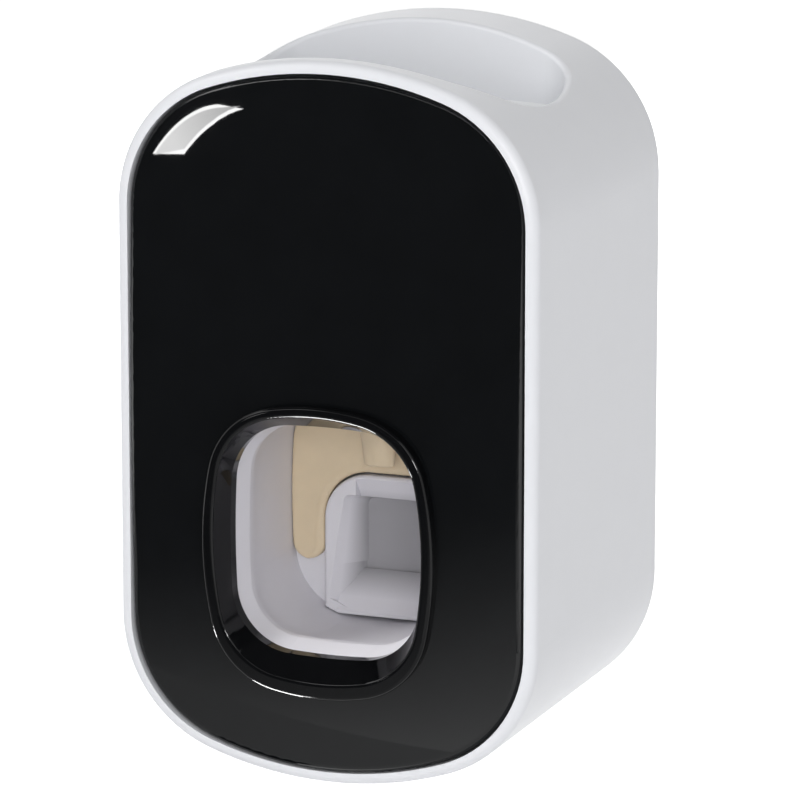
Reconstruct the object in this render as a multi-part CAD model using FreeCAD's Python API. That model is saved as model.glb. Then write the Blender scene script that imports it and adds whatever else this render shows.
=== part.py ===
import FreeCAD, Part
import math
import os
from FreeCAD import Vector

# A wall-mounted push-type toothpaste dispenser, in millimetres.
# X points right, Y points to the wall and Z points up. The origin is the centre of the
# adhesive pad's rear face, so the wall is the plane y = 0 and the window faces -Y.

# Sleeve body
body_width = 93.0
body_height = 152.5
body_depth = 76.1
body_corner_radius = 29.6
body_end_radius = 81.0
body_wall = 2.6
rim_fillet = 2.2
rear_edge_fillet = 0.8

# Gaps between pieces that are only placed, and fits of pieces that slide or turn
panel_gap = 0.25
lip_seat_gap = 0.02
seat_gap = 0.3
slide_clearance = 0.2
pin_clearance = 0.05
peg_clearance = 0.1
swing_clearance = 0.8
pusher_side_clearance = 0.35

# Wall pad, bracket and the pocket that hangs on it
pad_thickness = 1.0
pad_margin = 2.0
bracket_width = 44.0
bracket_height = 52.0
bracket_thickness = 3.6
bracket_corner = 4.0
ear_reach = 5.5
ear_height = 12.0
ear_thickness = 1.6
ear_corner = 1.5
ear_centre_z = 16.0
lift_travel = 15.0
pocket_side_room = 2.0
pocket_wall = 2.0
lip_overlap = 4.0
back_plate_thickness = 2.4
back_plate_recess = 0.2

# Mouth in the top and the funnel below it
mouth_side_margin = 10.1
mouth_front_margin = 5.5
mouth_rear_margin = 15.4
mouth_rear_share = 0.484
mouth_side_radius = 57.0
mouth_rear_corner = 9.0
mouth_rear_radius = 115.0
mouth_front_corner = 19.2
mouth_front_radius = 128.0
mouth_lip_fillet = 1.0
collar_wall = 2.0
collar_depth = 16.25
well_taper_x = 10.0
well_foot_half_y = 16.4
well_foot_corner = 14.0
well_foot_side_radius = 60.0
well_foot_end_radius = 90.0
well_floor_z = 17.0
well_floor_thickness = 2.0

# Crowned front cover
cover_crown_radius_x = 370.0
cover_crown_radius_z = 1000.0
cover_apex_rise = 3.1
cover_skin = 2.2
cover_skirt_wall = 2.0
cover_skirt_depth = 3.1
cover_edge_fillet = 1.6
carrier_thickness = 1.6
peg_radius = 2.45
peg_length = 7.5
peg_socket_wall = 1.9

# Window and its bezel
window_centre_z = -24.5
opening_half_x = 21.2
opening_half_z = 24.6
opening_corner = 13.5
opening_side_radius = 220.0
opening_end_radius = 128.0
opening_setback = 0.3
bezel_drop = 1.3
bezel_half_x = 25.7
bezel_half_z = 31.2
bezel_corner = 17.5
bezel_side_radius = 80.0
bezel_end_radius = 52.0
bezel_rise = 3.0
bezel_lip_width = 1.6
bezel_crest_width = 2.0
bezel_crest_fillet = 0.85

# Brush chamber and the deck plate that carries it
deck_thickness = 2.0
deck_top_margin = 4.0
chamber_half_x = 22.8
chamber_half_z = 25.9
chamber_corner = 14.3
chamber_mouth_step = 1.3
chamber_lip_step = 2.7
chamber_lip_slope = 4.6
chamber_lip_depth = 6.2
chamber_lip_fillet = 1.0
chamber_wall = 1.8
works_depth = 40.6
back_wall_thickness = 1.6
back_wall_half_x = 31.5
seal_thickness = 2.0
seal_leg_tip_z = -38.4

# Pusher, its hinge and its spring
pusher_half_width = 14.9
pusher_top_z = -18.7
pusher_foot_z = -49.4
pusher_arch_radius = 10.2
pusher_depth = 8.8
pusher_proud = 0.5
pusher_edge_fillet = 0.8
recess_depth = 6.0
recess_top_z = -23.2
recess_top_bevel = 1.6
recess_half_top = 10.2
recess_half_foot = 13.8
recess_back_half = 7.0
recess_corner_round = 1.8
recess_foot_z = -46.4
recess_foot_half = 4.0
recess_step_z = -38.9
recess_step_depth = 0.6
brow_half_width = 7.6
brow_depth = 3.2
toe_top_z = -40.6
toe_reach = 0.3
toe_half_width = 12.0
toe_lip = 0.8
pin_radius = 1.25
pin_behind_front = 6.0
pin_above_foot = 1.4
knuckle_radius = 2.4
lug_thickness = 2.5
lug_half = 3.2
spring_wire = 0.6
spring_turns = 4
spring_pitch = 1.15
spring_leg = 9.0
spring_anchor_leg = 5.0

# Pump
bulb_centre_z = -33.0
bulb_radius = 10.4
bulb_wall = 1.2
bulb_flange_radius = 12.6
bulb_flange_thickness = 1.5
pump_front_behind_pusher = 9.7
pump_block_half_x = 17.0
pump_block_depth = 12.5
pump_flange_thickness = 2.5
pump_foot_z = -48.0
manifold_half_x = 14.0
manifold_foot_z = 3.7
manifold_top_z = 14.0
manifold_nose = 6.5
passage_radius = 2.0
passage_half_pitch = 3.5
retainer_thickness = 1.5
retainer_width = 4.0
post_radius = 3.6
post_half_x = 27.5
post_top_z = -6.0
post_foot_z = -44.0

# Tube neck seal and nozzle
neck_centre_y = -28.0
neck_radius = 7.0
neck_land = 8.0
neck_flare = 1.4
seal_outer_radius = 10.0
cup_wall = 2.3
cup_shoulder = 2.6
valve_thickness = 1.0
valve_flap_radius = 5.0
valve_slit = 0.6
collar_nut_wall = 2.8
collar_nut_lip = 1.5
nozzle_centre_y = -46.3
spout_radius = 3.0
spout_length = 6.0
nozzle_wall = 1.3
nozzle_tip_z = -14.8
nozzle_tip_half_x = 3.4
nozzle_tip_half_y = 1.7
nozzle_collar_wall = 1.0
nozzle_collar_height = 3.4

# Screws
screw_radius = 1.3
screw_head_radius = 2.6
screw_head_height = 1.6
screw_length = 10.0
boss_radius = 3.8
boss_length = 14.0
boss_bite = 0.3
rear_boss_margin = 24.0
front_boss_top_margin = 36.25
front_boss_foot_margin = 19.25
peg_top_drop = 14.0
peg_foot_rise = 13.0
peg_margin = 9.0

# How far cutting solids run past the faces that they open, a size too small to matter, and
# how far outside the sleeve's skin a point is tried
past = 1.0
hair = 0.01
skin_probe = 0.05

# Planes that follow from the sizes above
body_half_x = body_width / 2
body_half_z = body_height / 2
rear_y = -pad_thickness
rim_y = rear_y - body_depth
apex_y = rim_y - cover_apex_rise
mouth_half_x = body_half_x - mouth_side_margin
mouth_length = body_depth - mouth_front_margin - mouth_rear_margin
mouth_rear_reach = mouth_length * mouth_rear_share
mouth_front_reach = mouth_length - mouth_rear_reach
mouth_wide_y = rear_y - mouth_rear_margin - mouth_rear_reach
collar_foot_z = body_half_z - collar_depth
well_foot_half_x = mouth_half_x - well_taper_x
deck_top_z = collar_foot_z - deck_top_margin
rear_boss_z = body_half_z - rear_boss_margin
front_boss_top_z = body_half_z - front_boss_top_margin
front_boss_foot_z = front_boss_foot_margin - body_half_z
peg_top_z = front_boss_top_z - peg_top_drop
peg_foot_z = front_boss_foot_z + peg_foot_rise
peg_x = body_half_x - peg_margin
chamber_depth = body_depth - works_depth
cover_inset = body_wall + panel_gap
skirt_y = rim_y + cover_skirt_depth - panel_gap
carrier_front_y = skirt_y - carrier_thickness + slide_clearance
carrier_y = carrier_front_y + carrier_thickness
deck_front_y = carrier_y + seat_gap
deck_y = deck_front_y + deck_thickness
back_wall_front_y = deck_front_y + chamber_depth
back_wall_y = back_wall_front_y + back_wall_thickness
seal_front_y = back_wall_front_y - seal_thickness
pusher_front_y = seal_front_y - pusher_proud
pusher_back_y = pusher_front_y + pusher_depth
pin_y = pusher_front_y + pin_behind_front
pin_z = pusher_foot_z + pin_above_foot
pump_front_y = pusher_back_y + pump_front_behind_pusher
pump_back_y = pump_front_y + pump_block_depth
back_plate_y = rear_y - back_plate_recess
back_plate_inner_y = back_plate_y - back_plate_thickness
bracket_front_y = rear_y - bracket_thickness
pocket_floor_y = bracket_front_y - seat_gap
pocket_inner_y = pocket_floor_y - pocket_wall
floor_z = window_centre_z - chamber_half_z
window_plane_y = rim_y + opening_setback
bezel_back_y = deck_front_y - seat_gap


def at_y(y, centre_z=0.0):
    """Map outline coordinates to the upright plane at y."""
    return lambda a, b: Vector(a, y, centre_z + b)


def at_z(z, centre_y=0.0):
    """Map outline coordinates to the level plane at z."""
    return lambda a, b: Vector(a, centre_y + b, z)


def corner_centre(half_a, half_b, corner, side_radius, end_radius):
    """Centre of the corner arc that is tangent to the side and to the end arc."""
    end_centre = half_b - end_radius
    end_reach = end_radius - corner
    if side_radius is None:
        a = half_a - corner
        return a, end_centre + math.sqrt(end_reach ** 2 - a ** 2)
    side_centre = half_a - side_radius
    side_reach = side_radius - corner
    apart = math.hypot(side_centre, end_centre)
    along = (side_reach ** 2 - end_reach ** 2 + apart ** 2) / (2 * apart)
    aside = math.sqrt(side_reach ** 2 - along ** 2)
    unit_a = -side_centre / apart
    unit_b = end_centre / apart
    return side_centre + along * unit_a - aside * unit_b, along * unit_b + aside * unit_a


def corner_arc(half_a, half_b, corner, side_radius, end_radius):
    """Three points of an outline's corner arc: on the side, half way and on the end."""
    centre_a, centre_b = corner_centre(half_a, half_b, corner, side_radius, end_radius)
    if side_radius is None:
        side_angle = 0.0
    else:
        side_angle = math.atan2(centre_b, centre_a - half_a + side_radius)
    end_angle = math.atan2(centre_b - half_b + end_radius, centre_a)
    angles = (side_angle, (side_angle + end_angle) / 2, end_angle)
    return [(centre_a + corner * math.cos(angle), centre_b + corner * math.sin(angle)) for angle in angles]


def uneven_wire(half_a, side_radius, upper_end, lower_end, place):
    """An outline of tangent arcs with two different ends, each a reach, a corner and an end radius."""
    edges = []
    for sign, this_end, other_end in ((1, upper_end, lower_end), (-1, lower_end, upper_end)):
        reach, corner, end_radius = this_end
        points = corner_arc(half_a, reach, corner, side_radius, end_radius)
        other_reach, other_corner, other_radius = other_end
        after_a, after_b = corner_arc(half_a, other_reach, other_corner, side_radius, other_radius)[0]
        near = [place(sign * a, sign * b) for a, b in points]
        far = [place(-sign * a, sign * b) for a, b in reversed(points)]
        after = place(-sign * after_a, -sign * after_b)
        edges.append(Part.Arc(*near).toShape())
        edges.append(Part.Arc(near[2], place(0, sign * reach), far[0]).toShape())
        edges.append(Part.Arc(*far).toShape())
        if side_radius is None:
            edges.append(Part.LineSegment(far[2], after).toShape())
        else:
            edges.append(Part.Arc(far[2], place(-sign * half_a, 0), after).toShape())
    return Part.Wire(edges)


def soft_wire(half_a, half_b, corner, side_radius, end_radius, place):
    """A rounded rectangle of tangent arcs. A side radius of None is a straight side."""
    end = (half_b, corner, end_radius)
    return uneven_wire(half_a, side_radius, end, end, place)


def body_wire(inset, y):
    """The sleeve's outline, drawn in by inset, at y."""
    return soft_wire(body_half_x - inset, body_half_z - inset, body_corner_radius - inset,
                     None, body_end_radius - inset, at_y(y))


def mouth_wire(grow, z):
    """The mouth's outline, grown by grow, at z."""
    rear = (mouth_rear_reach + grow, mouth_rear_corner + grow, mouth_rear_radius + grow)
    front = (mouth_front_reach + grow, mouth_front_corner + grow, mouth_front_radius + grow)
    return uneven_wire(mouth_half_x + grow, mouth_side_radius + grow, rear, front, at_z(z, mouth_wide_y))


def well_foot_wire(grow, z):
    """The outline of the funnel's foot, grown by grow, at z."""
    return soft_wire(well_foot_half_x + grow, well_foot_half_y + grow, well_foot_corner + grow,
                     well_foot_side_radius + grow, well_foot_end_radius + grow,
                     at_z(z, neck_centre_y))


def opening_wire(y):
    """The outline of the clear opening in the bezel, at y."""
    return soft_wire(opening_half_x, opening_half_z, opening_corner, opening_side_radius,
                     opening_end_radius, at_y(y, window_centre_z))


def bezel_wire(inset, y):
    """The bezel's outline, drawn in by inset, at y. It hangs a little lower than the opening."""
    return soft_wire(bezel_half_x - inset, bezel_half_z - inset, bezel_corner - inset,
                     bezel_side_radius - inset, bezel_end_radius - inset,
                     at_y(y, window_centre_z - bezel_drop))


def prism(wire, run):
    """Extrude the face inside a wire along a vector."""
    return Part.Face(wire).extrude(run)


def along_y(wire, length):
    """Extrude an upright outline towards the wall."""
    return prism(wire, Vector(0, length, 0))


def upward(wire, length):
    """Extrude a level outline upwards."""
    return prism(wire, Vector(0, 0, length))


def block(x_low, x_high, y_low, y_high, z_low, z_high):
    """A box given by its limits."""
    return Part.makeBox(x_high - x_low, y_high - y_low, z_high - z_low,
                        Vector(x_low, y_low, z_low))


def rod_y(radius, x, z, y_low, y_high):
    """A cylinder along Y."""
    return Part.makeCylinder(radius, y_high - y_low, Vector(x, y_low, z), Vector(0, 1, 0))


def rod_z(radius, x, y, z_low, z_high):
    """A cylinder along Z."""
    return Part.makeCylinder(radius, z_high - z_low, Vector(x, y, z_low), Vector(0, 0, 1))


def rod_x(radius, y, z, x_low, x_high):
    """A cylinder along X."""
    return Part.makeCylinder(radius, x_high - x_low, Vector(x_low, y, z), Vector(1, 0, 0))


def round_edges(shape, axis, radius):
    """Round every straight edge of a shape that runs along an axis."""
    chosen = []
    for edge in shape.Edges:
        if edge.Curve.TypeId != "Part::GeomLine":
            continue
        if abs(edge.Curve.Direction.dot(axis)) > 0.999:
            chosen.append(edge)
    return shape.makeFillet(radius, chosen)


def edges_on_plane(shape, y, tolerance=hair):
    """The edges of a shape that lie wholly in the upright plane at y."""
    return [edge for edge in shape.Edges
            if abs(edge.BoundBox.YMin - y) < tolerance and abs(edge.BoundBox.YMax - y) < tolerance]


def crown(apex):
    """The space behind the crowned front surface whose foremost point is at y = apex."""
    reach = body_height
    centre_y = apex + cover_crown_radius_z
    sag = cover_crown_radius_z - math.sqrt(cover_crown_radius_z ** 2 - reach ** 2)
    back = apex + cover_crown_radius_x / 2
    low = Vector(0, apex + sag, -reach)
    high = Vector(0, centre_y - cover_crown_radius_z + sag, reach)
    front = Part.Arc(low, Vector(0, apex, 0), high).toShape()
    sides = [Part.LineSegment(high, Vector(0, back, reach)).toShape(),
             Part.LineSegment(Vector(0, back, reach), Vector(0, back, -reach)).toShape(),
             Part.LineSegment(Vector(0, back, -reach), low).toShape()]
    face = Part.Face(Part.Wire([front] + sides))
    axis = Vector(0, apex + cover_crown_radius_x, 0)
    half_sweep = math.degrees(math.asin(body_width / cover_crown_radius_x))
    face.rotate(axis, Vector(0, 0, 1), -half_sweep)
    return face.revolve(axis, Vector(0, 0, 1), 2 * half_sweep)


def inner_half_width(z):
    """Half the clear width inside the sleeve at height z."""
    centre_a, centre_b = corner_centre(body_half_x, body_half_z, body_corner_radius, None,
                                       body_end_radius)
    over = abs(z) - centre_b
    radius = body_corner_radius - body_wall
    if over <= 0:
        return body_half_x - body_wall
    return centre_a + math.sqrt(radius ** 2 - over ** 2)


def boss_places(z_values):
    """Places of bosses that lean on the sleeve's side walls, on both sides."""
    places = []
    for z in z_values:
        x = inner_half_width(z) - boss_radius + boss_bite
        places.extend([(x, z), (-x, z)])
    return places


rear_boss_places = boss_places((rear_boss_z, -rear_boss_z))
front_boss_places = boss_places((front_boss_top_z, front_boss_foot_z))
peg_places = [(side * peg_x, z) for side in (1, -1) for z in (peg_top_z, peg_foot_z)]
post_places = [(side * post_half_x, z) for side in (1, -1) for z in (post_top_z, post_foot_z)]


def screw(x, z, head_y, toward):
    """A pan-head screw. Its head stands on head_y and its shank runs to toward * length."""
    head_end = head_y - toward * screw_head_height
    shank_end = head_y + toward * screw_length
    head = rod_y(screw_head_radius, x, z, min(head_y, head_end), max(head_y, head_end))
    shank = rod_y(screw_radius, x, z, min(head_y, shank_end), max(head_y, shank_end))
    rim = edges_on_plane(head, head_end)
    return head.makeFillet(screw_head_height / 2, rim).fuse(shank).removeSplitter()


def make_adhesive_pad():
    """The foam pad between the bracket and the wall."""
    half_x = bracket_width / 2 - pad_margin
    half_z = bracket_height / 2 - pad_margin
    pad = block(-half_x, half_x, rear_y, 0, -half_z, half_z)
    return round_edges(pad, Vector(0, 1, 0), bracket_corner - pad_margin / 2)


def make_wall_bracket():
    """The plate that stays on the wall, with two ears on each side."""
    half_x = bracket_width / 2
    half_z = bracket_height / 2
    plate = block(-half_x, half_x, bracket_front_y, rear_y, -half_z, half_z)
    plate = round_edges(plate, Vector(0, 1, 0), bracket_corner)
    for side in (1, -1):
        for level in (1, -1):
            near = side * (half_x - bracket_corner)
            far = side * (half_x + ear_reach)
            middle = level * ear_centre_z
            ear = block(min(near, far), max(near, far), bracket_front_y,
                        bracket_front_y + ear_thickness,
                        middle - ear_height / 2, middle + ear_height / 2)
            plate = plate.fuse(round_edges(ear, Vector(0, 1, 0), ear_corner))
    return plate.removeSplitter()


def make_back_plate():
    """The rear cover. Its pocket drops over the bracket, and its lips pass behind the ears."""
    plate = along_y(body_wire(body_wall + seat_gap, back_plate_inner_y), back_plate_thickness)
    half_x = bracket_width / 2 + ear_reach + pocket_side_room
    top_z = bracket_height / 2
    foot_z = -bracket_height / 2 - lift_travel - seat_gap
    tray = block(-half_x - pocket_wall, half_x + pocket_wall, pocket_inner_y, back_plate_y,
                 foot_z - pocket_wall, top_z + pocket_wall)
    tray = round_edges(tray, Vector(0, 1, 0), bracket_corner)
    plate = plate.fuse(tray)
    plate = plate.cut(block(-half_x, half_x, pocket_floor_y, back_plate_y + past, foot_z, top_z))
    lip_near = bracket_width / 2 + ear_reach - lip_overlap
    lip_front_y = bracket_front_y + ear_thickness + slide_clearance
    for side in (1, -1):
        for level in (1, -1):
            ends = sorted((side * lip_near, side * (half_x + pocket_wall / 2)))
            middle = level * ear_centre_z
            plate = plate.fuse(block(ends[0], ends[1], lip_front_y, back_plate_y,
                                     middle - ear_height / 2, middle + ear_height / 2))
    for x, z in rear_boss_places:
        plate = plate.cut(rod_y(screw_radius + peg_clearance, x, z, back_plate_inner_y - past, 0))
        plate = plate.cut(rod_y(screw_head_radius + seat_gap, x, z,
                                back_plate_y - screw_head_height, 0))
    return plate.removeSplitter()


def make_back_plate_screws():
    """Four screws through the back plate into the sleeve's rear bosses."""
    head_y = back_plate_y - screw_head_height
    return Part.makeCompound([screw(x, z, head_y, -1) for x, z in rear_boss_places])


def make_main_housing():
    """The sleeve, with the lipped mouth in its top and the bosses on its side walls."""
    outer = along_y(body_wire(0, rim_y), body_depth)
    sleeve = outer.makeFillet(rim_fillet, edges_on_plane(outer, rim_y))
    sleeve = sleeve.makeFillet(rear_edge_fillet, edges_on_plane(sleeve, rear_y))
    shell = sleeve.cut(along_y(body_wire(body_wall, rim_y - past), body_depth + 2 * past))
    collar = upward(mouth_wire(collar_wall, collar_foot_z), body_height).common(outer)
    shell = shell.fuse(collar)
    shell = shell.cut(upward(mouth_wire(0, collar_foot_z - past), body_height))
    shell = shell.removeSplitter()
    lip = []
    for edge in shell.Edges:
        middle = edge.valueAt((edge.FirstParameter + edge.LastParameter) / 2)
        inside_x = abs(middle.x) < mouth_half_x + hair
        inside_y = -mouth_front_reach - hair < middle.y - mouth_wide_y < mouth_rear_reach + hair
        if middle.z > collar_foot_z + past and inside_x and inside_y:
            if not is_inner_edge(middle):
                lip.append(edge)
    shell = shell.makeFillet(mouth_lip_fillet, lip)
    for x, z in rear_boss_places:
        boss = rod_y(boss_radius, x, z, back_plate_inner_y - boss_length, back_plate_inner_y)
        shell = shell.fuse(boss.common(outer))
    for x, z in front_boss_places:
        boss = rod_y(boss_radius, x, z, deck_y, deck_y + boss_length)
        shell = shell.fuse(boss.common(outer))
    for x, z in rear_boss_places:
        shell = shell.cut(rod_y(screw_radius, x, z, back_plate_inner_y - screw_length - past, rear_y))
    for x, z in front_boss_places:
        shell = shell.cut(rod_y(screw_radius, x, z, deck_front_y, deck_y + screw_length))
    return shell.removeSplitter()


def is_inner_edge(point):
    """Whether a point of the mouth lies deeper than the sleeve's outer skin."""
    skin = body_wire(0, point.y)
    face = Part.Face(skin)
    return face.isInside(Vector(point.x, point.y, point.z + skin_probe), hair, True)


def make_tube_well():
    """The funnel that carries the tube, from the mouth's collar down to the neck seal."""
    outer = Part.makeLoft([mouth_wire(collar_wall, collar_foot_z),
                           well_foot_wire(collar_wall, well_floor_z)], True, True)
    inner = Part.makeLoft([mouth_wire(0, collar_foot_z),
                           well_foot_wire(0, well_floor_z + well_floor_thickness)], True, True)
    hole = rod_z(cup_radius() + seat_gap, 0, neck_centre_y, 0, collar_foot_z)
    return outer.cut(inner).cut(hole)


def cup_radius():
    """Outer radius of the cup that holds the neck seal."""
    return seal_outer_radius + slide_clearance + cup_wall


def make_fascia_panel():
    """The crowned front, a thin shell with a skirt, open where the bezel sits."""
    deep = apex_y - past
    outer = along_y(body_wire(cover_inset, deep), skirt_y - deep).common(crown(apex_y))
    front = [edge for edge in outer.Edges if edge.BoundBox.YMax < skirt_y - cover_skirt_depth / 4
             and edge.Length > past]
    outer = outer.makeFillet(cover_edge_fillet, front)
    hollow = along_y(body_wire(cover_inset + cover_skirt_wall, deep), skirt_y + past - deep)
    panel = outer.cut(hollow.common(crown(apex_y + cover_skin)))
    hole = bezel_wire(bezel_lip_width - slide_clearance, deep)
    return panel.cut(along_y(hole, skirt_y + past - deep))


def make_window_bezel():
    """The funnel ring in the front. Its rounded lip lies on the crowned surface."""
    deep = apex_y - bezel_rise - past
    lip = along_y(bezel_wire(0, deep), skirt_y - deep)
    lip = lip.common(crown(apex_y - bezel_rise)).cut(crown(apex_y - lip_seat_gap))
    sleeve = along_y(bezel_wire(bezel_lip_width, deep), bezel_back_y - deep)
    sleeve = sleeve.common(crown(apex_y - bezel_rise))
    ring = lip.fuse(sleeve).removeSplitter()
    funnel = Part.makeLoft([bezel_wire(bezel_crest_width, apex_y - bezel_rise), opening_wire(window_plane_y),
                            opening_wire(bezel_back_y + past)], True, True)
    ring = ring.cut(funnel)
    crest = [edge for edge in ring.Edges if is_crest(edge)]
    return ring.makeFillet(bezel_crest_fillet, crest)


def is_crest(edge):
    """Whether an edge of the bezel lies on the rounded front of its lip."""
    middle = edge.valueAt((edge.FirstParameter + edge.LastParameter) / 2)
    sag_x = middle.x ** 2 / (2 * cover_crown_radius_x)
    sag_z = middle.z ** 2 / (2 * cover_crown_radius_z)
    return middle.y < apex_y - bezel_rise + sag_x + sag_z + bezel_crest_fillet / 2


def make_cover_carrier():
    """The plate behind the fascia, with the four pegs that hold the cover on the deck."""
    inset = cover_inset + cover_skirt_wall + slide_clearance
    plate = along_y(body_wire(inset, carrier_front_y), carrier_thickness)
    hole = bezel_wire(bezel_lip_width - slide_clearance, carrier_front_y - past)
    plate = plate.cut(along_y(hole, carrier_thickness + 2 * past))
    plate = plate.common(crown(apex_y + cover_skin + slide_clearance))
    for x, z in peg_places:
        peg = rod_y(peg_radius, x, z, carrier_y - carrier_thickness / 2, carrier_y + peg_length)
        tip = edges_on_plane(peg, carrier_y + peg_length)
        plate = plate.fuse(peg.makeFillet(peg_radius / 2, tip))
    return plate.removeSplitter()


def chamber_wire(grow, y):
    """The chamber's inner outline, grown by grow, at y."""
    return soft_wire(chamber_half_x + grow, chamber_half_z + grow, chamber_corner + grow,
                     opening_side_radius + grow, opening_end_radius + grow, at_y(y, window_centre_z))


def pusher_outline(grow_side, grow_top, foot_z, y):
    """The pusher's arch from foot_z up, at y, grown at its sides and at its top."""
    half = pusher_half_width + grow_side
    top = pusher_top_z + grow_top
    radius = pusher_arch_radius + grow_side
    shoulder = top - radius
    lean = radius * (1 - math.sqrt(0.5))
    corners = [Vector(half, y, foot_z), Vector(half, y, shoulder), Vector(half - radius, y, top),
               Vector(radius - half, y, top), Vector(-half, y, shoulder), Vector(-half, y, foot_z)]
    right = Vector(half - lean, y, top - lean)
    left = Vector(lean - half, y, top - lean)
    return Part.Wire([Part.LineSegment(corners[0], corners[1]).toShape(),
                      Part.Arc(corners[1], right, corners[2]).toShape(),
                      Part.LineSegment(corners[2], corners[3]).toShape(),
                      Part.Arc(corners[3], left, corners[4]).toShape(),
                      Part.LineSegment(corners[4], corners[5]).toShape(),
                      Part.LineSegment(corners[5], corners[0]).toShape()])


def make_brush_chamber():
    """The box behind the window, with the deck plate in front and the posts for the pump behind."""
    deck = along_y(body_wire(body_wall + seat_gap, deck_front_y), deck_thickness)
    deck = deck.cut(block(-body_width, body_width, deck_front_y - past, deck_y + past, deck_top_z,
                          body_height))
    tube = along_y(chamber_wire(chamber_wall, deck_front_y), chamber_depth + back_wall_thickness)
    wall_foot_z = floor_z - chamber_wall
    wall_top_z = window_centre_z + chamber_half_z + chamber_wall
    wall = block(-back_wall_half_x, back_wall_half_x, back_wall_front_y, back_wall_y,
                 wall_foot_z, wall_top_z)
    wall = round_edges(wall, Vector(0, 1, 0), post_radius)
    chamber = deck.fuse(tube).fuse(wall)
    for x, z in post_places:
        chamber = chamber.fuse(rod_y(post_radius, x, z, back_wall_front_y, pump_front_y))
    for x, z in peg_places:
        chamber = chamber.fuse(rod_y(peg_radius + peg_clearance + peg_socket_wall, x, z,
                                     deck_front_y, deck_y + peg_length))
    for side in (1, -1):
        near = side * (pusher_half_width + pusher_side_clearance)
        far = side * (pusher_half_width + pusher_side_clearance + lug_thickness)
        lug = block(min(near, far), max(near, far), back_wall_front_y, pin_y + lug_half,
                    wall_foot_z, pin_z + lug_half)
        chamber = chamber.fuse(lug)
    chamber = chamber.fuse(block(-pusher_half_width, pusher_half_width, back_wall_front_y,
                                 pin_y + lug_half, wall_foot_z, floor_z - seat_gap))
    chamber = chamber.removeSplitter()
    lip_y = deck_front_y + chamber_lip_slope
    lip_end_y = deck_front_y + chamber_lip_depth
    funnel = Part.makeLoft([chamber_wire(-chamber_mouth_step, deck_front_y),
                            chamber_wire(-chamber_lip_step, lip_y),
                            chamber_wire(-chamber_lip_step, lip_end_y + past)], True, True)
    chamber = chamber.cut(funnel)
    lip = [edge for edge in edges_on_plane(chamber, lip_y) if within_window(edge)]
    chamber = chamber.makeFillet(chamber_lip_fillet, lip)
    chamber = chamber.cut(along_y(chamber_wire(0, lip_end_y), back_wall_front_y - lip_end_y))
    way = pusher_outline(pusher_side_clearance, swing_clearance, floor_z, back_wall_front_y - past)
    chamber = chamber.cut(along_y(way, back_wall_thickness + 2 * past))
    chamber = chamber.cut(rod_z(nozzle_hole_radius(), 0, nozzle_centre_y, window_centre_z,
                                manifold_foot_z))
    for x, z in post_places:
        chamber = chamber.cut(rod_y(screw_radius, x, z, pump_front_y - screw_length, pump_front_y + past))
    for x, z in peg_places:
        chamber = chamber.cut(rod_y(peg_radius + peg_clearance, x, z, deck_front_y - past,
                                    deck_y + peg_length + past))
    for x, z in front_boss_places:
        chamber = chamber.cut(rod_y(screw_radius + peg_clearance, x, z, deck_front_y - past, deck_y + past))
        chamber = chamber.cut(countersink(x, z, peg_clearance))
    chamber = chamber.cut(rod_x(pin_radius + pin_clearance, pin_y, pin_z, -body_width, body_width))
    anchor = spring_anchor_point((wall_foot_z + floor_z) / 2)
    chamber = chamber.cut(rod_z(spring_wire / 2 + seat_gap, anchor.x, anchor.y, wall_foot_z - past, floor_z))
    return chamber.removeSplitter()


def within_window(edge):
    """Whether an edge lies inside the chamber's outline, seen from the front."""
    box = edge.BoundBox
    wide = max(abs(box.XMin), abs(box.XMax)) < chamber_half_x
    return wide and max(abs(box.ZMin - window_centre_z), abs(box.ZMax - window_centre_z)) < chamber_half_z


def nozzle_hole_radius():
    """Radius of the hole in the chamber's ceiling that the nozzle hangs through."""
    return spout_radius + nozzle_wall + nozzle_collar_wall + 2 * slide_clearance + seat_gap


def countersink(x, z, grow):
    """The cone of a flush screw head in the deck's front, grown by grow."""
    depth = screw_head_radius - screw_radius
    return Part.makeCone(screw_head_radius + grow, screw_radius + grow, depth,
                         Vector(x, deck_front_y, z), Vector(0, 1, 0))


def make_deck_screws():
    """Four flush screws through the deck plate into the sleeve's front bosses."""
    screws = []
    for x, z in front_boss_places:
        shank = rod_y(screw_radius, x, z, deck_front_y, deck_front_y + screw_length)
        screws.append(countersink(x, z, 0).fuse(shank).removeSplitter())
    return Part.makeCompound(screws)


def make_wiper_seal():
    """The inverted U of soft silicone round the pusher's opening."""
    sheet = along_y(chamber_wire(-seat_gap, seal_front_y), seal_thickness)
    way = pusher_outline(pusher_side_clearance, swing_clearance, floor_z - past, seal_front_y - past)
    sheet = sheet.cut(along_y(way, seal_thickness + 2 * past))
    leg_radius = (chamber_half_x - seat_gap - pusher_half_width - pusher_side_clearance) / 2
    leg_x = chamber_half_x - seat_gap - leg_radius
    round_z = seal_leg_tip_z + leg_radius
    kept = block(-body_width, body_width, seal_front_y - past, back_wall_front_y + past, round_z, body_height)
    for side in (1, -1):
        kept = kept.fuse(rod_y(leg_radius, side * leg_x, round_z, seal_front_y - past,
                               back_wall_front_y + past))
    return sheet.common(kept).removeSplitter()


def recess_outline(half_top, half_side, top_z, side_z, y):
    """The six-sided outline of the pusher's recess at y, with slanted corners at its foot."""
    foot_z = pusher_foot_z - past
    right = [(half_top, top_z), (half_side, side_z), (recess_foot_half, foot_z)]
    points = [Vector(x, y, z) for x, z in right] + [Vector(-x, y, z) for x, z in reversed(right)]
    return Part.makePolygon(points + points[:1])


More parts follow.
